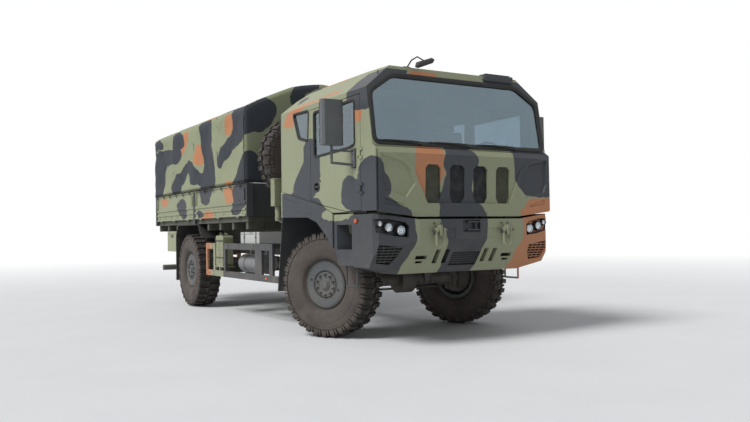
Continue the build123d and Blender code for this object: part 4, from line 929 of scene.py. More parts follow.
# a sheet of painted shade at the back of each slot, behind the mesh
made = bmesh.new()
for middle in SLOTS:
    boxy(made, (4.1136, middle - SLOT_HALF, 1.5405), (4.1146, middle + SLOT_HALF, 1.9565))
piece("flap_painted_shade", made, painted_shade_black, "front_flap")
made = bmesh.new()
for middle in SLOTS:
    for k in range(17):
        y = middle - 0.096 + k * WIRE_PITCH
        boxy(made, (4.1180, y - WIRE_HALF, 1.541), (4.1205, y + WIRE_HALF, 1.956))
    for k in range(35):
        z = 1.545 + k * WIRE_PITCH
        near = 4.1192, middle - SLOT_HALF, z - WIRE_HALF
        far = 4.1217, middle + SLOT_HALF, z + WIRE_HALF
        boxy(made, near, far)
piece("flap_mesh", made, shaded_mesh_paint, "front_flap")
made = bmesh.new()
bolts(made, [(4.1552, y, 1.470) for y in (-1.13, 1.13)], (1, 0, 0), 0.011, 0.004)
bolts(made, [(4.1552, y, 1.42) for y in (-0.74, 0.74)], (1, 0, 0), 0.011, 0.004)
piece("flap_screws", made, cab_paint, "front_flap", 35)


# Bumper: a welded steel box with sunk corner grilles, slots, a recess with its coupling pin in
# the middle, and near-black sheets of painted shade that close the cuts from behind.
def box_outline(y0, y1, z0, z1):
    return [(y0, z0), (y1, z0), (y1, z1), (y0, z1)]


def both(*outlines):
    """Outlines on the right and on the left."""
    return [[(side * y, z) for y, z in outline] for outline in outlines for side in (-1, 1)]


def core(depth):
    """The bumper's outer form a given depth under its surface."""
    front, foot = BUMPER_X - depth, 0.777 + depth
    side = [(3.45, 1.50), (front, 1.50), (front, 1.145), (front - 0.260, foot), (3.45, foot)]
    made = bmesh.new()
    lofted(made, [[(x, y, z) for x, z in side] for y in (depth - 1.21, 1.21 - depth)])
    for way in (-1, 1):
        for (y0, back0), (y1, back1) in zip(PLAN, PLAN[1:]):
            cut = bmesh.ops.bisect_plane(
                made,
                geom=made.verts[:] + made.edges[:] + made.faces[:],
                plane_co=(front - back0, way * y0, 0),
                plane_no=Vector((y1 - y0, way * (back1 - back0), 0)).normalized(),
                clear_outer=True,
            )
            rim = [edge for edge in cut["geom_cut"] if isinstance(edge, bmesh.types.BMEdge)]
            if rim:
                bmesh.ops.contextual_create(made, geom=rim)
    bmesh.ops.recalc_face_normals(made, faces=made.faces[:])
    return made


def prisms(outlines):
    made = bmesh.new()
    for outline in outlines:
        lofted(made, [[(x, y, z) for y, z in outline] for x in (3.70, 4.30)])
    return made


def between(outlines, near, far):
    """The layer of the bumper between two depths, inside some outlines."""
    return combined(combined(prisms(outlines), core(near), "INTERSECT"), core(far), "DIFFERENCE")


BUMPER_X = 4.1775
PLAN = [(0.700, 0.0), (0.930, 0.040), (1.165, 0.070), (1.210, 0.125)]
CORNER_GRILLE = [
    (1.165, 1.105), (0.880, 1.068), (0.910, 0.975),
    (0.980, 0.885), (1.150, 0.905), (1.180, 1.030),
]
CUTS = [
    # outlines and the depth they are cut to: frame arms flush with the raked face, corner
    # grilles, middle mesh, two shallow plates, the coupling's recess, flat and upright slots
    (both(box_outline(0.33, 0.43, 0.90, 1.15)), 0.0),
    (both(CORNER_GRILLE), 0.026),
    ([box_outline(-0.192, 0.192, 0.851, 1.004)], 0.030),
    ([box_outline(-0.351, -0.227, 1.153, 1.263), box_outline(0.201, 0.390, 1.153, 1.263)], 0.005),
    ([box_outline(-0.128, 0.118, 1.224, 1.352)], 0.034),
    (both(box_outline(0.52, 0.67, 0.934, 0.972), box_outline(0.56, 0.65, 0.890, 0.914)), 0.0445),
    (
        both(box_outline(0.368, 0.428, 0.884, 1.034), box_outline(0.242, 0.302, 0.884, 1.034)),
        0.0445,
    ),
]
# Near-black sheets of painted shade behind the corner grilles, the middle mesh and the slots
SHADE_SHEETS = [
    # name, outlines, depths of the sheet's two faces
    (
        "grille_painted_shade",
        [[(c.x, c.y) for c in shifted(line, -0.004)] for line in both(CORNER_GRILLE)],
        0.0250, 0.0262,
    ),
    ("mesh_painted_shade", [box_outline(-0.189, 0.189, 0.854, 1.001)], 0.0290, 0.0302),
    ("slot_painted_shade", both(
        box_outline(0.521, 0.669, 0.935, 0.971), box_outline(0.561, 0.649, 0.891, 0.913),
        box_outline(0.369, 0.427, 0.885, 1.033), box_outline(0.243, 0.301, 0.885, 1.033),
    ), 0.0430, 0.0447),
]
bumper = node_shape("front_bumper")
for outlines, depth in CUTS:
    cut = combined(prisms(outlines), core(depth), "DIFFERENCE")
    bumper = combined(bumper, cut, "DIFFERENCE")
flat_bars = [box_outline(0.82, 1.21, z, z + 0.010) for z in (0.915 + 0.030 * n for n in range(7))]
bars = between(both(*flat_bars), 0.008, 0.0262)
joined(bumper, combined(bars, prisms(both(shifted(CORNER_GRILLE, 0.001))), "INTERSECT"))
upright_bars = [box_outline(y, y + 0.008, 0.90, 1.09) for y in (0.90 + 0.065 * n for n in range(4))]
joined(bumper, between(both(*upright_bars), 0.014, 0.0262))
wires = [box_outline(-0.1925, 0.1925, z, z + 0.007) for z in (0.873 + 0.025 * n for n in range(6))]
joined(bumper, between(wires, 0.010, 0.016))
wires = [box_outline(y, y + 0.007, 0.8505, 1.0045) for y in (-0.172 + 0.027 * n for n in range(14))]
joined(bumper, between(wires, 0.011, 0.0165))
for z in (1.236, 1.324):
    boxy(bumper, (4.1375, -0.058, z), (4.1915, 0.106, z + 0.016), 0.004)
stud(bumper, (4.1655, 0.058, 1.236), (0, 0, 1), 0.013, 0.104, 16)
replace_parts(piece("bumper_shell", bumper, cab_paint, "chassis"), "front_bumper")
for name, outlines, near, far in SHADE_SHEETS:
    piece(name, between(outlines, near, far), painted_shade_black, "chassis")


# Lamps: three round lamps a side in a black housing, each a turned body with a polished bowl
# and bulb behind a clear lens; an orange marker stands on the bumper's end.
LAMPS = [
    # x of the glass, y, z, radius
    (4.1295, 0.900, 1.249, 0.056),
    (4.1175, 1.045, 1.282, 0.052),
    (4.1055, 1.145, 1.322, 0.034),
]
HOUSING_FACE = 4.0676
HOUSING = [
    (0.82, 1.175), (1.00, 1.190), (1.185, 1.230), (1.20, 1.370),
    (1.05, 1.368), (0.86, 1.335), (0.815, 1.290),
]
HOUSING_SCREWS = [(1.165, 1.25), (1.10, 1.225), (0.97, 1.200), (0.99, 1.345), (1.085, 1.352)]
HOUSING_EDGE = [(-0.002, 0.0), (-0.002, 0.006), (-0.012, 0.006), (-0.012, 0.0)]
LAMP_EDGE = [(0.005, 0.0), (0.003, 0.014), (-0.003, 0.014), (-0.004, 0.0)]
bright, shader, place = new_finish("lamp_reflector", 0.12, 1.0)
polished = place.blend(colour(206, 210, 214), colour(232, 235, 238), place.noise(40.0))
feed(shader, base_color=polished, roughness=place.noise(30.0) * 0.12 + 0.05)
lens, shader, place = new_finish("lamp_lens", 0.02)
shader.inputs["Transmission Weight"].default_value = 1.0
shader.inputs["IOR"].default_value = 1.3
clear = place.blend(colour(232, 236, 238), colour(244, 246, 247), place.noise(20.0))
feed(shader, base_color=clear, roughness=place.noise(12.0) * 0.06)
bodies, bowls, lenses = bmesh.new(), bmesh.new(), bmesh.new()
for x, y, z, radius in LAMPS:
    deep = x - 4.0678
    body_rows = [
        (-deep, 0.0), (-deep, radius), (-0.002, radius), (0.0, radius - 0.002),
        (0.0, radius - 0.006), (-0.012, radius - 0.009), (-deep + 0.006, radius * 0.62),
        (-deep + 0.004, 0.0),
    ]
    bowl_rows = [
        (-0.010, radius - 0.0085), (-0.011, radius - 0.0105), (-deep * 0.55, radius * 0.70),
        (-deep + 0.010, radius * 0.30), (-deep + 0.010, 0.0), (-deep + 0.008, 0.0),
        (-deep + 0.008, radius * 0.34), (-deep * 0.6, radius * 0.74),
    ]
    bulb_rows = [
        (-0.016, 0.0), (-0.018, radius * 0.20), (-0.024, radius * 0.26),
        (-0.030, radius * 0.20), (-0.032, 0.0),
    ]
    lens_rows = [
        (-0.009, 0.0), (-0.009, radius - 0.009), (-0.006, radius - 0.0085),
        (-0.002, radius * 0.6), (-0.001, 0.0),
    ]
    for side in (-1, 1):
        for target, rows in (
            (bodies, body_rows), (bowls, bowl_rows), (bowls, bulb_rows), (lenses, lens_rows),
        ):
            made = bmesh.new()
            spun(made, rows, 40)
            joined(target, made, on_wheel((x, side * y, z), (1, 0, 0)))
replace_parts(piece("lamp_bodies", bodies, trim_black, "chassis", 35), "headlamps")
piece("lamp_bowls", bowls, bright, "chassis", 35)
piece("lamp_lenses", lenses, lens, "chassis", 35)
made = bmesh.new()
for side in (-1, 1):
    housing = rounded([(side * y, z) for y, z in HOUSING], 0.02)
    strip(made, housing, HOUSING_EDGE, facing_x(HOUSING_FACE))
    bolts(made, [(HOUSING_FACE, side * y, z) for y, z in HOUSING_SCREWS], (1, 0, 0), 0.008, 0.006)
    for x, y, z, radius in LAMPS:
        middle, reach = Vector((side * y, z)), radius + 0.006
        turns = [t * math.tau / 32 for t in range(32)]
        around = [middle + Vector((math.cos(t), math.sin(t))) * reach for t in turns]
        strip(made, around, LAMP_EDGE, facing_x(HOUSING_FACE))
piece("lamp_frames", made, trim_black, "chassis", 35)
made = bmesh.new()
for side in (-1, 1):
    sided(made, side, (3.694, 3.742), (1.2095, 1.226), (1.336, 1.380), 0.005, 3)
    for x in (-1.12, 1.20):
        sided(made, side, (x, x + 0.07), (1.2045, 1.2115), (0.610, 0.640), 0.003)
amber = painted("amber_lens", (214, 92, 30), 0.25, worn=0.0, dust=0.1)
piece("side_markers", made, amber, "chassis", 35)


# Shackles: forged eyes bolted to the bumper, each with its pin, nuts and four plate bolts.
# They are painted with the front.
SHACKLE_Y, SHACKLE_Z, PIN_REACH = 0.467, 1.244, 0.0745
dress(painted("shackle_paint", (158, 158, 128), 0.6), "tow_shackles")
made = bmesh.new()
for side in (-1, 1):
    for reach in (-PIN_REACH, PIN_REACH):
        at = (4.2215, side * (SHACKLE_Y + reach), SHACKLE_Z)
        outward = (0, side * reach, 0)
        stud(made, at, outward, 0.0215, 0.012, 6)
        stud(made, at, outward, 0.012, 0.022, 12)
    for dy, dz in ((-0.045, 0.075), (0.045, 0.075), (-0.045, -0.03), (0.045, -0.03)):
        at = (4.1776, side * (SHACKLE_Y + dy), SHACKLE_Z + dz)
        stud(made, at, (1, 0, 0), 0.013, 0.009, 6)
piece("shackle_nuts", made, nut_steel, "chassis", 35)


# Roof: a low vent box with a row of raised louvres, welded on over the left half of the
# windscreen and sprayed black.
box_dark = painted("vent_paint", (52, 57, 62), 0.6, dust=0.3)
made = bmesh.new()
boxy(made, (3.8475, 0.409, 2.998), (3.9595, 0.830, 3.066))
for v in made.verts:
    if v.co.x > 3.95:
        v.co.z = 2.975 if v.co.z < 3.03 else 3.052
bmesh.ops.bevel(
    made, geom=made.edges[:], offset=0.006, segments=2, affect="EDGES", profile=0.5, material=-1,
)
for x in (3.862 + 0.012 * n for n in range(7)):
    boxy(made, (x, 0.43, 3.064), (x + 0.006, 0.81, 3.0675), 0.001, 1)
piece("roof_box", made, box_dark, "chassis", 30)


# Mudguards: a pressed cover stands proud of each front arch, with a row of raised dashes and
# the bolts that hold it to the cab.
ARCH = [
    (1.8025, 1.765), (2.5385, 1.620), (2.9215, 1.548), (3.2005, 1.440), (3.2005, 1.062),
    (3.0565, 1.187), (2.7975, 1.360), (2.5655, 1.420), (1.8025, 1.436),
]
ARCH_BOLTS = [(1.86, 1.50), (2.30, 1.50), (2.62, 1.47), (2.90, 1.38), (3.16, 1.20), (3.16, 1.38)]
DASHES, DASH_START, DASH_PITCH, ARCH_FALL = 10, 1.87, 0.048, 0.197
made = bmesh.new()
for side in (-1, 1):
    lofted(made, [
        [(c.x, side * out, c.y) for c in shifted(ARCH, shift)]
        for out, shift in ((1.2101, 0.0), (1.2240, 0.0), (1.2280, -0.006))
    ])
    for n in range(DASHES):
        x = DASH_START + n * DASH_PITCH
        top = 1.700 - (x - DASH_START) * ARCH_FALL
        sided(made, side, (x, x + 0.030), (1.2275, 1.2300), (top - 0.022, top), 0.001, 1)
    bolts(made, [(x, side * 1.2278, z) for x, z in ARCH_BOLTS], (0, side, 0), 0.009, 0.004)
piece("mudguard_covers", made, cab_paint, "chassis", 25)


# Wipers: three pressed arms with flexible blades under the screen, each on a spindle with a
# domed nut.
def tube(made, points, radius, sides=8):
    """A round bar or hose along a broken line, its bends mitred and its ends closed."""
    points = [Vector(point) for point in points]
    turns = [math.tau * n / sides for n in range(sides)]
    rings, first = [], None
    for before, point, after in zip([None] + points, points, points[1:] + [None]):
        way = Vector((0, 0, 0))
        for a, b in ((before, point), (point, after)):
            if a is not None and b is not None:
                way += (b - a).normalized()
        way.normalize()
        first = way.orthogonal() if first is None else first - way * first.dot(way)
        first.normalize()
        second = way.cross(first)
        offsets = [(first * math.cos(t) + second * math.sin(t)) * radius for t in turns]
        rings.append([made.verts.new(point + offset) for offset in offsets])
    for a, b in zip(rings, rings[1:]):
        for n in range(sides):
            made.faces.new((a[n - 1], a[n], b[n], b[n - 1]))
    made.faces.new(rings[0])
    made.faces.new(rings[-1][::-1])


wiper_black = painted("wiper_black", (26, 27, 29), 0.6, dust=0.2, worn=0.1)
made = bmesh.new()
for y in (-0.600, 0.060, 0.720):
    stud(made, (4.0780, y, 2.172), (1, 0, 0), 0.014, 0.026, 16)
    stud(made, (4.0960, y, 2.172), (1, 0, 0), 0.009, 0.012, 6)
    tube(made, [(4.0975, y, 2.176), (4.0990, y - 0.060, 2.180), (4.0940, y - 0.330, 2.205)], 0.0065)
    tube(made, [(4.0960, y - 0.150, 2.192), (4.0930, y - 0.300, 2.203)], 0.0045)
    boxy(made, (4.0850, y - 0.560, 2.198), (4.0905, y - 0.020, 2.206), 0.002)
    boxy(made, (4.0895, y - 0.480, 2.2005), (4.0975, y - 0.110, 2.2095), 0.002)
    boxy(made, (4.0790, y - 0.555, 2.2005), (4.0855, y - 0.025, 2.2035), 0.001, 1)
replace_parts(piece("wipers", made, wiper_black, "chassis", 35), "cab_fittings")


# Kerb mirror: a moulded paddle-shaped head on a bent steel arm, which is bolted to the front
# edge of the roof by a small plate.
HEAD_OUTLINE = [
    (-0.134, -0.010), (-0.100, -0.033), (0.095, -0.030),
    (0.134, 0.000), (0.100, 0.030), (-0.100, 0.033),
]
HEAD_LAYERS = ((-0.029, -0.012), (-0.022, 0.0), (0.012, 0.0), (0.029, -0.016))
made = bmesh.new()
boxy(made, (3.8625, -0.690, 3.030), (3.9175, -0.610, 3.046), 0.004)
bolts(made, [(3.89, y, 3.045) for y in (-0.675, -0.625)], (0, 0, 1), 0.008, 0.006)
arm = [
    (3.9025, -0.640, 3.045), (3.9675, -0.630, 3.105),
    (4.0175, -0.585, 3.140), (4.0325, -0.505, 3.100),
]
tube(made, arm, 0.008, 10)
head = bmesh.new()
lofted(head, [[(x, c.x, c.y) for c in shifted(HEAD_OUTLINE, shift)] for x, shift in HEAD_LAYERS])
bmesh.ops.bevel(
    head, geom=head.edges[:], offset=0.004, segments=2, affect="EDGES", profile=0.5, material=-1,
)
hung = Matrix.Translation((4.0275, -0.490, 3.082)) @ Matrix.Rotation(math.radians(20), 4, "X")
joined(made, head, hung)
piece("kerb_mirror", made, trim_black, "chassis", 35)


# Seats: foam cushions, backs and head rests sewn in ribbed cloth, on steel boxes with slides
# that are bolted to the cab's floor.
def bands(place, way, scale, distortion=0.0):
    sockets = {"Vector": place, "Scale": scale, "Distortion": distortion}
    return place.node("TexWave", {"wave_type": "BANDS", "bands_direction": way}, sockets)


seat_cloth, shader, place = new_finish("seat_cloth", 0.9)
rib, thread = bands(place, "Y", 60.0, 1.0), bands(place, "X", 170.0)
woven = (rib * 0.5 + place.noise(18.0, 4.0) * 0.6).clamp()
feed(
    shader,
    base_color=place.blend(colour(58, 60, 58), colour(86, 88, 82), woven),
    roughness=place.noise(30.0).span(0.3, 0.7, 0.82, 0.96),
    normal=place.bump(rib * 0.6 + thread * 0.4, 0.0012, 0.7),
)
seat_steel = painted("seat_steel", (44, 46, 47), 0.6, worn=0.3, dust=0.3)
VOXEL, PRESSURE, BLOW_FRAMES = 0.010, 4.0, 20
FOAM_INSET, FOAM_EDGE = 0.010, 0.022
SEAM_WIDTH, SEAM_DEPTH = 0.009, 0.009
PIPING_WIDTH, PIPING_DRAW = 0.006, 0.010


def blown_up(pad):
    """Where the points of the foam's mesh go when its cover is blown up as cloth."""
    cover = pad.modifiers.new("cover", "CLOTH")
    cover.settings.quality = 4
    cover.settings.use_pressure = True
    cover.settings.uniform_pressure_force = PRESSURE
    cover.settings.effector_weights.gravity = 0.0
    for frame_number in range(1, BLOW_FRAMES + 1):
        scene.frame_set(frame_number)
    evaluated = pad.evaluated_get(bpy.context.evaluated_depsgraph_get())
    points = [v.co.copy() for v in evaluated.to_mesh().vertices]
    evaluated.to_mesh_clear()
    pad.modifiers.clear()
    scene.frame_set(1)
    return points


def stuffed(size, seams, most):
    """A foam block blown up inside its cover, then drawn in along its seams and piping."""
    made = bmesh.new()
    half = [c / 2 - FOAM_INSET for c in size]
    boxy(made, [-c for c in half], half, FOAM_EDGE, 4)
    start = bpy.data.meshes.new("foam")
    made.to_mesh(start)
    made.free()
    pad = bpy.data.objects.new("foam", start)
    scene.collection.objects.link(pad)
    voxels = pad.modifiers.new("voxels", "REMESH")
    voxels.mode, voxels.voxel_size = "VOXEL", VOXEL
    graph = bpy.context.evaluated_depsgraph_get()
    even = bpy.data.meshes.new_from_object(pad.evaluated_get(graph))
    pad.modifiers.clear()
    pad.data = even
    rest = [v.co.copy() for v in even.vertices]
    blown = blown_up(pad)
    piping = size[2] / 2 - FOAM_EDGE
    for v, first, last in zip(even.vertices, rest, blown):
        move = last - first
        room = most if first.z > -size[2] / 2 + 0.03 else 0.002
        if move.length > room:
            move *= room / move.length
        at = first + move
        if at.z > 0:
            near = min(abs((at.y if axis == "y" else at.x) - line) for axis, line in seams)
            at.z -= SEAM_DEPTH * math.exp(-((near / SEAM_WIDTH) ** 2))
        at *= 1 - PIPING_DRAW * math.exp(-(((at.z - piping) / PIPING_WIDTH) ** 2))
        v.co = at
    shown = bmesh.new()
    shown.from_mesh(even)
    bpy.data.objects.remove(pad)
    for data in (start, even):
        bpy.data.meshes.remove(data)
    return shown


def leaning(foot, top):
    """The place of a pad whose length runs up from one (x, z) point to another, facing forward."""
    low, high = Vector((foot[0], 0, foot[1])), Vector((top[0], 0, top[1]))
    rise = (high - low).normalized()
    facing = Vector((0, 1, 0)).cross(rise)
    turn = Matrix((rise, Vector((0, -1, 0)), facing)).transposed().to_4x4()
    return Matrix.Translation((low + high) / 2) @ turn


SEAT_Y = 0.78
PADS = [
    # name, size, seams across it, most that it swells, its place, how full it is
    (
        "cushion", (0.490, 0.480, 0.130), [("y", -0.140), ("y", 0.140), ("x", 0.120)],
        0.016, Matrix.Translation((3.0725, 0, 1.915)), 0.7,
    ),
    (
        "back", (0.677, 0.460, 0.110), [("y", -0.140), ("y", 0.140), ("x", -0.170), ("x", 0.100)],
        0.014, leaning((2.8475, 1.900), (2.6975, 2.560)), 0.65,
    ),
    (
        "head", (0.222, 0.260, 0.090), [("x", 0.0)],
        0.010, leaning((2.6915, 2.540), (2.6575, 2.760)), 0.7,
    ),
]
SEAT_BOXES = [
    # x, half width, z, edge: floor plate, box, pan
    ((2.8775, 3.2675), 0.200, (1.5055, 1.560), 0.006),
    ((2.9075, 3.2375), 0.185, (1.560, 1.790), 0.012),
    ((2.8475, 3.2975), 0.215, (1.790, 1.8495), 0.008),
]
for pad_name, size, seams, most, place_at, fill in PADS:
    shape = stuffed(size, seams, most)
    for side, name in SIDES:
        made = shape.copy()
        seat_at = Matrix.Translation((0, side * SEAT_Y, 0)) @ place_at
        bmesh.ops.transform(made, matrix=seat_at, verts=made.verts[:])
        pad = piece(f"seat_{pad_name}_{name}", made, seat_cloth, "chassis", 180)
        finer = pad.modifiers.new("finer", "SUBSURF")
        finer.levels = finer.render_levels = 1
        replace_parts(pad, "seats")
    shape.free()
made = bmesh.new()
for side in (-1, 1):
    y = side * SEAT_Y
    for (x0, x1), half, (z0, z1), edge in SEAT_BOXES:
        boxy(made, (x0, y - half, z0), (x1, y + half, z1), edge)
    for rail in (-0.15, 0.15):
        boxy(made, (2.8775, y + rail - 0.018, 1.775), (3.2875, y + rail + 0.018, 1.800), 0.003)
    corners = [(x, y + out, 1.560) for x in (2.90, 3.245) for out in (-0.1776, 0.1776)]
    bolts(made, corners, (0, 0, 1), 0.010, 0.008)
    for out in (-0.0715, 0.0715):
        tube(made, [(2.690, y + out, 2.50), (2.672, y + out, 2.62)], 0.006)
    reached = ((3.255, -0.12, 1.80), (3.315, -0.12, 1.81), (3.315, 0.12, 1.81), (3.255, 0.12, 1.80))
    tube(made, [(x, y + across, z) for x, across, z in reached], 0.007)
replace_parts(piece("seat_bases", made, seat_steel, "chassis", 35), "seats")


# Dashboard: moulded panel with a hooded dial cluster, slatted vents, a grab rail, a row of
# switches and two sun visors over the windscreen.
HOOD_SIDE = [(3.735, 2.075), (3.735, 2.150), (3.800, 2.165), (3.900, 2.150), (3.900, 2.100)]
GRAB_RAIL = [
    (3.660, -1.0, 1.985), (3.630, -1.0, 2.000),
    (3.630, -0.55, 2.000), (3.660, -0.55, 1.985),
]
DIALS = [
    # y, z, radius
    (0.57, 2.115, 0.034),
    (0.65, 2.117, 0.030),
    (0.73, 2.115, 0.034),
]
VISORS = ((-1.02, -0.72), (0.46, 0.98))
dash_plastic = painted(
    "dash_plastic", (50, 52, 54), 0.65, dust=0.15, worn=0.05, grain=(420.0, 0.0004),
)
dress(dash_plastic, "dashboard")
made = bmesh.new()
lofted(made, [[(x, y, z) for x, z in HOOD_SIDE] for y in (0.44, 0.86)])
for y in (-0.95, -0.45, 0.10, 1.0):
    for n in range(6):
        x, z = 3.720 + n * 0.014, 2.075 + n * 0.0041
        boxy(made, (x - 0.0010, y - 0.055, z - 0.006), (x + 0.0010, y + 0.055, z + 0.002))
tube(made, GRAB_RAIL, 0.011, 10)
for y in (0.02 + n * 0.040 for n in range(8)):
    boxy(made, (3.628, y, 1.930), (3.648, y + 0.025, 1.965), 0.003)
piece("dash_fittings", made, trim_black, "chassis", 35)
made = bmesh.new()
for y, z, radius in DIALS:
    rows = [
        (0.0, 0.0), (0.0, radius), (0.006, radius), (0.006, radius - 0.004),
        (0.002, radius - 0.006), (0.002, 0.0),
    ]
    ring = bmesh.new()
    spun(ring, rows, 32)
    joined(made, ring, on_wheel((3.7345, y, z), (-1, 0, 0)))
    needle = (3.7300, y - 0.0015, z - 0.004), (3.7320, y + 0.0015, z + radius - 0.012)
    boxy(made, *needle, 0.0005, 1)
dial_face = painted("dial_face", (196, 198, 196), 0.4, worn=0.0, dust=0.05)
piece("dials", made, dial_face, "chassis", 35)
made = bmesh.new()
for y0, y1 in VISORS:
    boxy(made, (3.845, y0, 2.790), (3.858, y1, 2.935), 0.010, 3)
    for y in (y0 + 0.02, y1 - 0.02):
        tube(made, [(3.852, y, 2.935), (3.870, y, 2.985)], 0.006)
piece("sun_visors", made, trim_black, "chassis", 35)


# Right side: an air tank in steel straps, two storage boxes with hasps and clasps, a pressed
# jerrycan strapped to its tray, and the intake stack with its slatted head.
tank_paint = painted("tank_paint", (128, 131, 135), 0.5)
green_paint = painted("green_paint", (150, 154, 122), 0.6)
box_paint, shader, place = new_finish("box_paint", 0.55)
front_box = place.part("x").span(-2.5, -2.4)
weathered(place, shader, place.blend(colour(146, 150, 120), colour(184, 186, 183), front_box), 0.55)
dress(tank_paint, "air_tanks")
dress(box_paint, "storage_boxes")
dress(green_paint, "jerrycan", "intake_stack")
TANK_Y, TANK_Z, STRAP_RADIUS, STRAP_STEPS = -0.98, 0.80, 0.1405, 40
made = bmesh.new()
for x, end in ((-0.0225, -1), (0.8075, 1)):
    stud(made, (x, TANK_Y, TANK_Z), (end, 0, 0), 0.022, 0.012, 6)
    stud(made, (x, TANK_Y, TANK_Z + 0.06), (end, 0, 0), 0.012, 0.010, 6)
for x in (0.1975, 0.7775):
    ring = []
    for step in range(STRAP_STEPS + 1):
        t = step * math.tau / STRAP_STEPS
        out, up = STRAP_RADIUS * math.cos(t), STRAP_RADIUS * math.sin(t)
        ring.append(Vector((x, TANK_Y + out, TANK_Z + up)))
    for a, b in zip(ring, ring[1:]):
        boxed = boxy(made, (-0.016, -0.0015, -0.0115), (0.016, 0.0015, 0.0115))
        way = (b - a).normalized()
        turn = Matrix((Vector((1, 0, 0)), way.cross(Vector((1, 0, 0))), way)).transposed()
        link = Matrix.Translation((a + b) / 2) @ turn.to_4x4()
        bmesh.ops.transform(made, matrix=link, verts=boxed)
piece("tank_straps", made, nut_steel, "chassis", 35)
made = bmesh.new()
for x in (0.25, 0.69):
    boxy(made, (x, -1.133, 1.0953), (x + 0.034, -1.130, 1.2615), 0.001, 1)
    boxy(made, (x, -1.132, 1.2602), (x + 0.034, -0.698, 1.2632), 0.001, 1)
    boxy(made, (x - 0.004, -1.140, 1.165), (x + 0.038, -1.132, 1.205), 0.003)
boxy(made, (0.1175, -1.1335, 1.228), (0.8275, -1.1300, 1.234), 0.001, 1)
lid_screws = [(x, -1.1952, z) for x in (-3.4325, -2.9125) for z in (0.95, 1.27)]
bolts(made, lid_screws, (0, -1, 0), 0.009, 0.004)
boxy(made, (-3.25, -1.204, 1.19), (-3.09, -1.1955, 1.235), 0.003)
boxy(made, (-3.4425, -1.1975, 1.245), (-2.9025, -1.1953, 1.251))
piece("box_fittings", made, nut_steel, "chassis", 35)
CAN_RIB = [(0.004, -0.001), (0.002, 0.004), (-0.002, 0.004), (-0.004, -0.001)]
made = bmesh.new()
for z0, z1 in ((0.80, 0.95), (0.985, 1.155)):
    for x0, x1 in ((-0.735, -0.615), (-0.590, -0.470)):
        outline = rounded([(x0, z0), (x0, z1), (x1, z1), (x1, z0)], 0.03)
        strip(made, outline, CAN_RIB, on_side(-1, 1.2030))
piece("can_ribs", made, green_paint, "chassis", 40)
made = bmesh.new()
stud(made, (-0.6125, -1.165, 1.2362), (0, 0, 1), 0.034, 0.026, 20, 0.031)
boxy(made, (-0.640, -1.172, 1.262), (-0.585, -1.158, 1.268), 0.002)
for z in (0.86, 1.12):
    boxy(made, (-0.771, -1.2065, z), (-0.434, -1.2035, z + 0.022), 0.001, 1)
piece("can_cap_and_straps", made, trim_black, "chassis", 35)
made = bmesh.new()
for z in (1.66 + 0.022 * n for n in range(12)):
    boxy(made, (1.532, -1.2465, z), (1.618, -1.2448, z + 0.010), 0.0008, 1)
boxy(made, (1.508, -1.249, 1.943), (1.642, -1.101, 1.958), 0.004)
head_screws = [(x, -1.2452, z) for z in (1.63, 1.92) for x in (1.522, 1.628)]
bolts(made, head_screws, (0, -1, 0), 0.006, 0.003)
for z in (1.43, 1.575):
    stud(made, (1.5775, -1.17, z), (0, 0, 1), 0.046, 0.014, 24)
piece("intake_fittings", made, green_paint, "chassis", 35)


# Side guards: welded box section in the camouflage colours, in one piece with the rear
# underrun bar, bolted to the frame through flat feet.
def guard_unseen(place):
    return place.part("y").span(-0.9, -0.8)


GUARD_SIDE = (0.45, 0.3, 1.0)
GUARD_FACE = 1.2053
guard_paint = camouflage(
    "guard_camouflage",
    brown=[(GUARD_SIDE, flank(-1.19, [(-1.30, 0.60, 0.16), (-1.30, 1.10, 0.16)]))],
    black=[(GUARD_SIDE, [
        *flank(-1.19, [(0.66, 0.60, 0.50), (0.80, 1.10, 0.56), (1.60, 0.80, 0.56)]),
        [(-3.97, -1.19, 0.60, 0.40), (-3.97, 0.0, 0.60, 0.40)],
    ])],
    over=[],
    unseen=guard_unseen,
    roughness=0.55,
    dust=0.6,
)
dress(guard_paint, "side_guards")
dress(trim_black, "rear_lamps")
FOOT_BOLTS = [(x, z) for x in (-1.1725, -0.8525, -0.3725, 0.9575, 1.3925) for z in (0.60, 0.65)]
TOP_BOLTS = [
    (x, z) for x in (-1.1225, -0.9225, -0.2225, 0.1975, 0.7775, 1.2275) for z in (1.03, 1.07)
]
made = bmesh.new()
for side in (-1, 1):
    spots = [(x, side * GUARD_FACE, z) for x, z in FOOT_BOLTS + TOP_BOLTS]
    bolts(made, spots, (0, side, 0), 0.010, 0.006)
piece("guard_bolts", made, nut_steel, "chassis", 35)


# Left side and frame: steel bands hold the fuel tank and the silencer, bolts the frame's
# flanges, and U-bolts with plates and nuts the leaf springs.
TANK_OUTLINE = [(0.515, 0.595), (0.515, 1.025), (1.155, 1.025), (1.155, 0.595)]
TANK_BAND = [(0.0, 0.0), (0.0, 0.035), (-0.0025, 0.035), (-0.0025, 0.0)]
SILENCER_BAND = [(0.0, 0.193), (0.03, 0.193), (0.03, 0.1895), (0.0, 0.1895)]
RAIL_FACE, SPRING_Y, SPRING_BOLT = 0.4302, 0.39, 0.052
made = bmesh.new()
for x in (-0.45, 0.35):
    strip(made, rounded(TANK_OUTLINE, 0.098, 8), TANK_BAND, facing_x(x))
stud(made, (0.15, 1.148, 0.93), (0, 1, 0), 0.055, 0.02, 28)
for x in (0.80, 1.53):
    band = bmesh.new()
    spun(band, SILENCER_BAND, 48)
    joined(made, band, on_wheel((x, 0.78, 0.76), (1, 0, 0)))
piece("tank_bands_left", made, nut_steel, "chassis", 35)
made = bmesh.new()
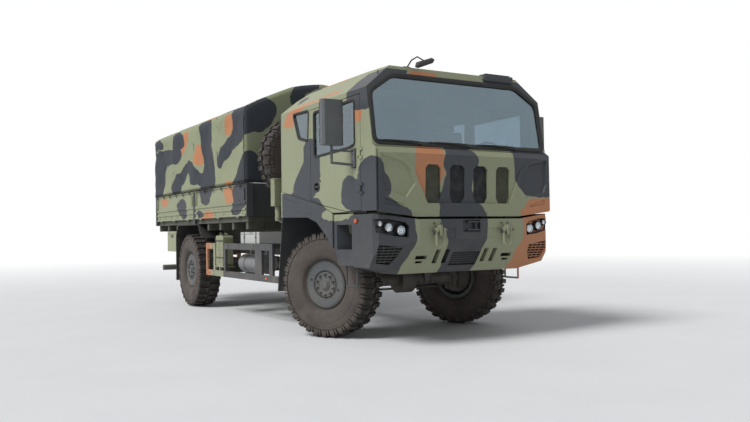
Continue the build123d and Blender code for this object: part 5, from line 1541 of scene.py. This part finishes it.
for side in (-1, 1):
    spots = [(-3.80 + n * 0.235, side * RAIL_FACE, z) for n in range(31) for z in (0.925, 1.155)]
    bolts(made, spots, (0, side, 0), 0.011, 0.008)
    for axle in (2.6775, -2.1525):
        for x in (axle - 0.09, axle + 0.09):
            for y in (SPRING_Y - SPRING_BOLT, SPRING_Y + SPRING_BOLT):
                tube(made, [(x, side * y, 0.56), (x, side * y, 0.82)], 0.009)
                stud(made, (x, side * y, 0.60), (0, 0, -1), 0.016, 0.014, 6)
            sided(made, side, (x - 0.012, x + 0.012), (0.332, 0.448), (0.812, 0.826), 0.003)
    stud(made, (-3.79, side * 0.25, 1.10), (-1, 0, 0), 0.011, 0.008, 6)
piece("frame_bolts", made, nut_steel, "chassis", 35)


# Load bed: a planked floor on dark bearers, dark posts and hoops, and pressed steel boards in
# the camouflage colours.
def bed_unseen(place):
    """1 on the left half and, on the boards, at the rear."""
    return place.part("y").span(-0.2, 0.0)


def boards_unseen(place):
    return bed_unseen(place).most(place.part("x").span(-4.0, -4.05))


PLANKS_PER_METRE, PLANK_GAP = 5.3, 0.045
BED_SIDE = (0.32, 0.3, 1.0)
floor_paint, shader, place = new_finish("floor_paint", 0.75)
gaps = (place.part("y") * PLANKS_PER_METRE).math("FRACT").math("LESS_THAN", PLANK_GAP)
weathered(place, shader, place.blend(colour(76, 77, 68), colour(38, 38, 34), gaps), 0.75)
dress(floor_paint, "cargo_floor")
hoop_paint = painted("hoop_paint", (58, 62, 64), 0.6)
dress(hoop_paint, "cargo_frame")
board_paint = camouflage(
    "board_camouflage",
    brown=[(BED_SIDE, flank(
        -1.25,
        [(-3.48, 1.86, 0.08)],
        [(-0.06, 1.87, 0.075), (-0.03, 1.74, 0.055)],
        [(-0.98, 1.52, 0.09)],
    ))],
    black=[(BED_SIDE, flank(
        -1.25,
        [(-2.44, 1.76, 0.09), (-2.30, 1.57, 0.07)],
        [(-1.13, 1.93, 0.11), (-1.13, 1.79, 0.08)],
        [(0.40, 1.86, 0.11), (0.38, 1.72, 0.09), (0.20, 1.56, 0.06)],
        [(-1.39, 1.56, 0.06)],
    ))],
    over=[],
    unseen=boards_unseen,
    roughness=0.6,
    dust=0.4,
)
BOARD_NODES = [f"dropside_{side}_{end}" for side in ("right", "left") for end in ("front", "rear")]
dress(board_paint, *BOARD_NODES, "tailgate")


# Canopy: one coated canvas hood stretched over the hoops, its front wall in one piece with it,
# open at the back and lashed down along the boards.
def canvas_unseen(place):
    """1 on the left half and the roof, but not on the front wall."""
    wide = bed_unseen(place).most(place.part("z").span(3.10, 3.14))
    return wide.least(1 - place.part("x").span(0.55, 0.6))


canvas_paint = camouflage(
    "canvas_camouflage",
    brown=[(BED_SIDE, flank(
        -1.26,
        [(-2.15, 2.95, 0.064), (-2.27, 2.80, 0.064), (-2.40, 2.67, 0.03)],
        [(-1.42, 2.62, 0.08), (-1.46, 2.48, 0.08), (-1.47, 2.43, 0.05)],
        [(0.02, 2.97, 0.065), (-0.03, 2.79, 0.06), (-0.06, 2.73, 0.04)],
        [(-0.02, 1.98, 0.06), (-0.03, 1.89, 0.07)],
    ))],
    black=[
        (BED_SIDE, flank(
            -1.26,
            [(-3.80, 2.00, 0.09), (-3.78, 2.45, 0.10), (-3.68, 2.68, 0.16), (-2.90, 2.65, 0.155)],
            [(-2.58, 2.82, 0.10), (-2.56, 2.97, 0.09)],
            [(-3.84, 2.94, 0.10)],
            [
                (-1.08, 2.99, 0.105), (-1.11, 2.68, 0.090), (-0.99, 2.37, 0.085),
                (-1.00, 2.10, 0.125), (-1.00, 1.95, 0.120),
            ],
            [(-1.05, 2.08, 0.120), (-1.67, 2.18, 0.094), (-1.93, 2.42, 0.07)],
            [(-1.99, 2.44, 0.064), (-2.43, 2.26, 0.09), (-2.74, 2.10, 0.10), (-2.65, 2.0, 0.084)],
            [
                (0.42, 2.99, 0.105), (0.40, 2.78, 0.10), (0.28, 2.64, 0.10),
                (-0.12, 2.54, 0.095), (-0.36, 2.38, 0.06), (-0.42, 2.30, 0.035),
            ],
            [(0.66, 2.32, 0.05), (0.58, 2.12, 0.095), (0.40, 2.00, 0.09)],
            [(0.68, 2.98, 0.043), (0.64, 2.90, 0.033)],
        )),
        ((1, 1, 1), [
            [(0.64, -1.06, 2.91, 0.21), (0.64, -0.94, 3.02, 0.19)],
            [(0.64, -0.44, 3.20, 0.11), (0.64, -0.35, 3.38, 0.11), (0.64, -0.12, 3.44, 0.07)],
            [(0.64, -1.16, 2.29, 0.14), (0.64, -1.08, 2.06, 0.18), (0.64, -0.70, 2.02, 0.20)],
        ]),
    ],
    over=[(BED_SIDE, flank(-1.26, [(-3.08, 2.95, 0.086), (-3.05, 2.86, 0.055)]))],
    unseen=canvas_unseen,
    roughness=0.85,
    dust=0.15,
    worn=0.0,
)
HEM, FRONT_END, REAR_END = 1.965, 0.640, -4.064
HOOD = [
    # half width and height of the hood's section from the hem up to the ridge
    (1.2585, 1.965), (1.2590, 2.200), (1.2600, 2.650), (1.2610, 2.950), (1.2560, 3.035),
    (1.2300, 3.068), (1.1600, 3.106), (1.0970, 3.139), (0.9600, 3.200), (0.8230, 3.260),
    (0.6700, 3.325), (0.5120, 3.390), (0.3300, 3.430), (0.1450, 3.458), (0.0, 3.472),
]
HOOPS = (0.5575, -0.5425, -1.7025, -2.8825, -4.0075)
COLUMNS, WALL_ROWS, ROWS = 88, 18, 138
LASHING_PITCH = 0.39


def along(points, share):
    """The point at a share of a broken line's length."""
    points = [Vector(p) for p in points]
    lengths = [(b - a).length for a, b in zip(points, points[1:])]
    left = share * sum(lengths)
    for a, b, length in zip(points, points[1:], lengths):
        if left <= length:
            return a.lerp(b, left / length)
        left -= length
    return points[-1]


def slack(x):
    """0 over a hoop and 1 halfway between two."""
    for a, b in zip(HOOPS, HOOPS[1:]):
        if b <= x <= a:
            return math.sin(math.pi * (x - b) / (a - b)) ** 2
    return 0.0


def creases(x, z, seed):
    """Depth of the canvas's slanting folds, from 0 to about 1."""
    leaning_way = noise.noise(Vector((x * 1.9 + z * 1.5, z * 0.45 - x * 0.3, seed)))
    crossing = noise.noise(Vector((x * 2.3 - z * 1.9, z * 0.5 + x * 0.2, seed + 5.0)))
    folds = [max(0.0, 1 - abs(fold) * 3.4) ** 2 for fold in (leaning_way, crossing)]
    return 0.6 * folds[0] + 0.4 * folds[1]


def upto(value):
    return min(1.0, max(0.0, value))


def on_wall(share, side, edge):
    """A point of the front wall: share runs from the middle of its foot out to the hood's edge."""
    spread = share ** 0.8
    point = Vector((0, HEM)).lerp(edge, spread)
    bulge = math.sin(math.pi * min(spread, 1))
    folds = creases(point.x * side, point.y, 9.0) * math.sin(math.pi * spread)
    sag = bulge * 0.022 + 0.010 * folds
    return Vector((FRONT_END - sag - 0.012 * spread ** 24, side * point.x, point.y))


def on_hood(x, side, edge, inward):
    """A point of the hood at x, sunk between the hoops and along its folds."""
    upright = upto((edge.y - HEM) / 0.25) * upto((3.03 - edge.y) / 0.2)
    on_roof = upto((edge.y - 3.06) / 0.08)
    sag = slack(x) * (0.030 * upright + 0.036 * on_roof)
    folds = creases(x, edge.y + side * 3.0, 2.0) * (0.024 * upright + 0.010 * on_roof + 0.003)
    sag += min(1.0, (FRONT_END - x) / 0.12) * folds
    at_hem = edge.y < HEM + 0.001
    scallop = 0.006 * math.sin(math.tau * x / LASHING_PITCH) if at_hem else 0.0
    out, up = edge.x - abs(inward.x) * sag, edge.y - abs(inward.y) * sag + scallop
    return Vector((x, side * out, up))


made = bmesh.new()
bmesh.ops.create_grid(made, x_segments=ROWS, y_segments=COLUMNS, size=1.0)
for v in made.verts:
    row = (1 - v.co.x) / 2 * ROWS
    side = -1 if v.co.y < 0 else 1
    half = 1 - abs(v.co.y)
    edge = along(HOOD, half)
    run = along(HOOD, min(half + 0.01, 1)) - along(HOOD, max(half - 0.01, 0))
    inward = Vector((run.y, -run.x)).normalized()
    if row < WALL_ROWS:
        v.co = on_wall(row / WALL_ROWS, side, edge)
    else:
        x = FRONT_END + (REAR_END - FRONT_END) * (row - WALL_ROWS) / (ROWS - WALL_ROWS)
        v.co = on_hood(x, side, edge, inward)
bmesh.ops.remove_doubles(made, verts=made.verts[:], dist=0.0004)
bmesh.ops.recalc_face_normals(made, faces=made.faces[:])
canopy = piece("canopy_canvas", made, canvas_paint, "chassis", 180)
if sum(f.normal.z for f in canopy.data.polygons) < 0:
    canopy.data.flip_normals()
wall = canopy.modifiers.new("cloth", "SOLIDIFY")
wall.thickness = 0.002
wall.offset = -1
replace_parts(canopy, "canopy")


# Hem: dark rails close the gap between boards and canvas; a rope is led through eyelets in the
# canvas and under hooks on the boards, and eyelets run up the front corners.
ROPE_Y, LOOP_Y, LOOP_FOOT = 1.2665, 1.2600, 1.915
LASHING = ((0.0, 1.972), (-0.13, 1.966), (-0.165, LOOP_FOOT), (-0.20, 1.966))
EYELET = [(0.0, 0.016), (0.0025, 0.014), (0.0025, 0.010), (0.0, 0.008)]
made = bmesh.new()
for side in (-1, 1):
    sided(made, side, (-4.03, 0.60), (1.172, 1.204), (1.925, 1.996), 0.003)
piece("hem_rails", made, hoop_paint, "chassis", 35)
made = bmesh.new()
for side in (-1, 1):
    points = []
    x = 0.60
    while x > -4.03:
        for dx, z in LASHING:
            if x + dx > -4.05:
                points.append((x + dx, side * (LOOP_Y if z == LOOP_FOOT else ROPE_Y), z))
        x -= LASHING_PITCH
    tube(made, points, 0.0055, 6)
    tube(made, [(0.618, side * 1.2655, z) for z in (1.99, 2.3, 2.6, 2.93)], 0.005, 6)
rope_finish = painted("rope", (70, 68, 60), 0.9, worn=0.0, dust=0.2)
piece("lacing", made, rope_finish, "chassis", 40)
made = bmesh.new()
for side in (-1, 1):
    for z in (2.03 + n * 0.112 for n in range(9)):
        ring = bmesh.new()
        spun(ring, EYELET, 16)
        joined(made, ring, on_wheel((0.602, side * 1.2618, z), (0, side, 0)))
piece("eyelets", made, nut_steel, "chassis", 35)


# Board fittings: hooks for the lacing, pressed corner latches and riveted hinge plates, all
# painted with the boards.
BOARD_ENDS = (("front", 0.60, -1.60), ("rear", -1.80, -3.94))
HINGE_ROWS, RIVET_HEIGHTS = 6, (1.593, 1.678)
for side, name in SIDES:
    out = (0, side, 0)
    for end, first, last in BOARD_ENDS:
        made = bmesh.new()
        x = 0.60 - 0.165
        while x > last + 0.02:
            if x < first:
                sided(made, side, (x - 0.012, x + 0.012), (1.252, 1.262), (1.894, 1.924), 0.002)
            x -= LASHING_PITCH
        for n in range(HINGE_ROWS):
            x = first - 0.12 + (last - first + 0.24) * n / (HINGE_ROWS - 1)
            bolts(made, [(x, side * 1.2518, z) for z in RIVET_HEIGHTS], out, 0.008, 0.005, 8)
            sided(made, side, (x - 0.022, x + 0.022), (1.2398, 1.2455), (1.515, 1.575), 0.003)
        for x in (first - 0.025, last + 0.025):
            sided(made, side, (x - 0.016, x + 0.016), (1.2398, 1.256), (1.72, 1.90), 0.004)
            stud(made, (x, side * 1.2555, 1.86), out, 0.012, 0.008, 12)
        body = f"dropside_{name}_{end}"
        piece(f"board_fittings_{name}_{end}", made, board_paint, body, 35)


# Rear: moulded lamp glasses in a row on each side, latches at the tailgate's ends and a blank
# plate riveted to its middle panel.
LENSES = [
    # name, colour, spans counted outwards from the middle
    ("rear_lenses_red", (150, 28, 22), ((0.885, 1.005), (1.080, 1.142))),
    ("rear_lenses_amber", (206, 96, 30), ((0.808, 0.878),)),
    ("rear_lenses_white", (196, 198, 196), ((1.012, 1.073),)),
]
for name, tint, spans in LENSES:
    made = bmesh.new()
    for side in (-1, 1):
        for span in spans:
            sided(made, side, (-4.0665, -4.0600), span, (1.313, 1.392), 0.003)
    finish = painted(name, tint, 0.25, worn=0.0, dust=0.3)
    piece(name, made, finish, "chassis", 35)
made = bmesh.new()
for side in (-1, 1):
    sided(made, side, (-4.1080, -4.0910), (1.125, 1.157), (1.72, 1.90), 0.004)
    stud(made, (-4.1075, side * 1.141, 1.86), (-1, 0, 0), 0.012, 0.008, 12)
rivets = [(-4.1030, -1.05 + 0.42 * n, z) for n in range(6) for z in RIVET_HEIGHTS]
bolts(made, rivets, (-1, 0, 0), 0.008, 0.005, 8)
piece("tailgate_latches", made, board_paint, "tailgate", 35)
made = bmesh.new()
boxy(made, (-4.0945, -0.96, 1.738), (-4.0913, -0.44, 1.848), 0.001, 1)
plate_enamel = painted("plate_enamel", (206, 206, 200), 0.4)
piece("blank_plate", made, plate_enamel, "tailgate", 35)


low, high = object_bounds()
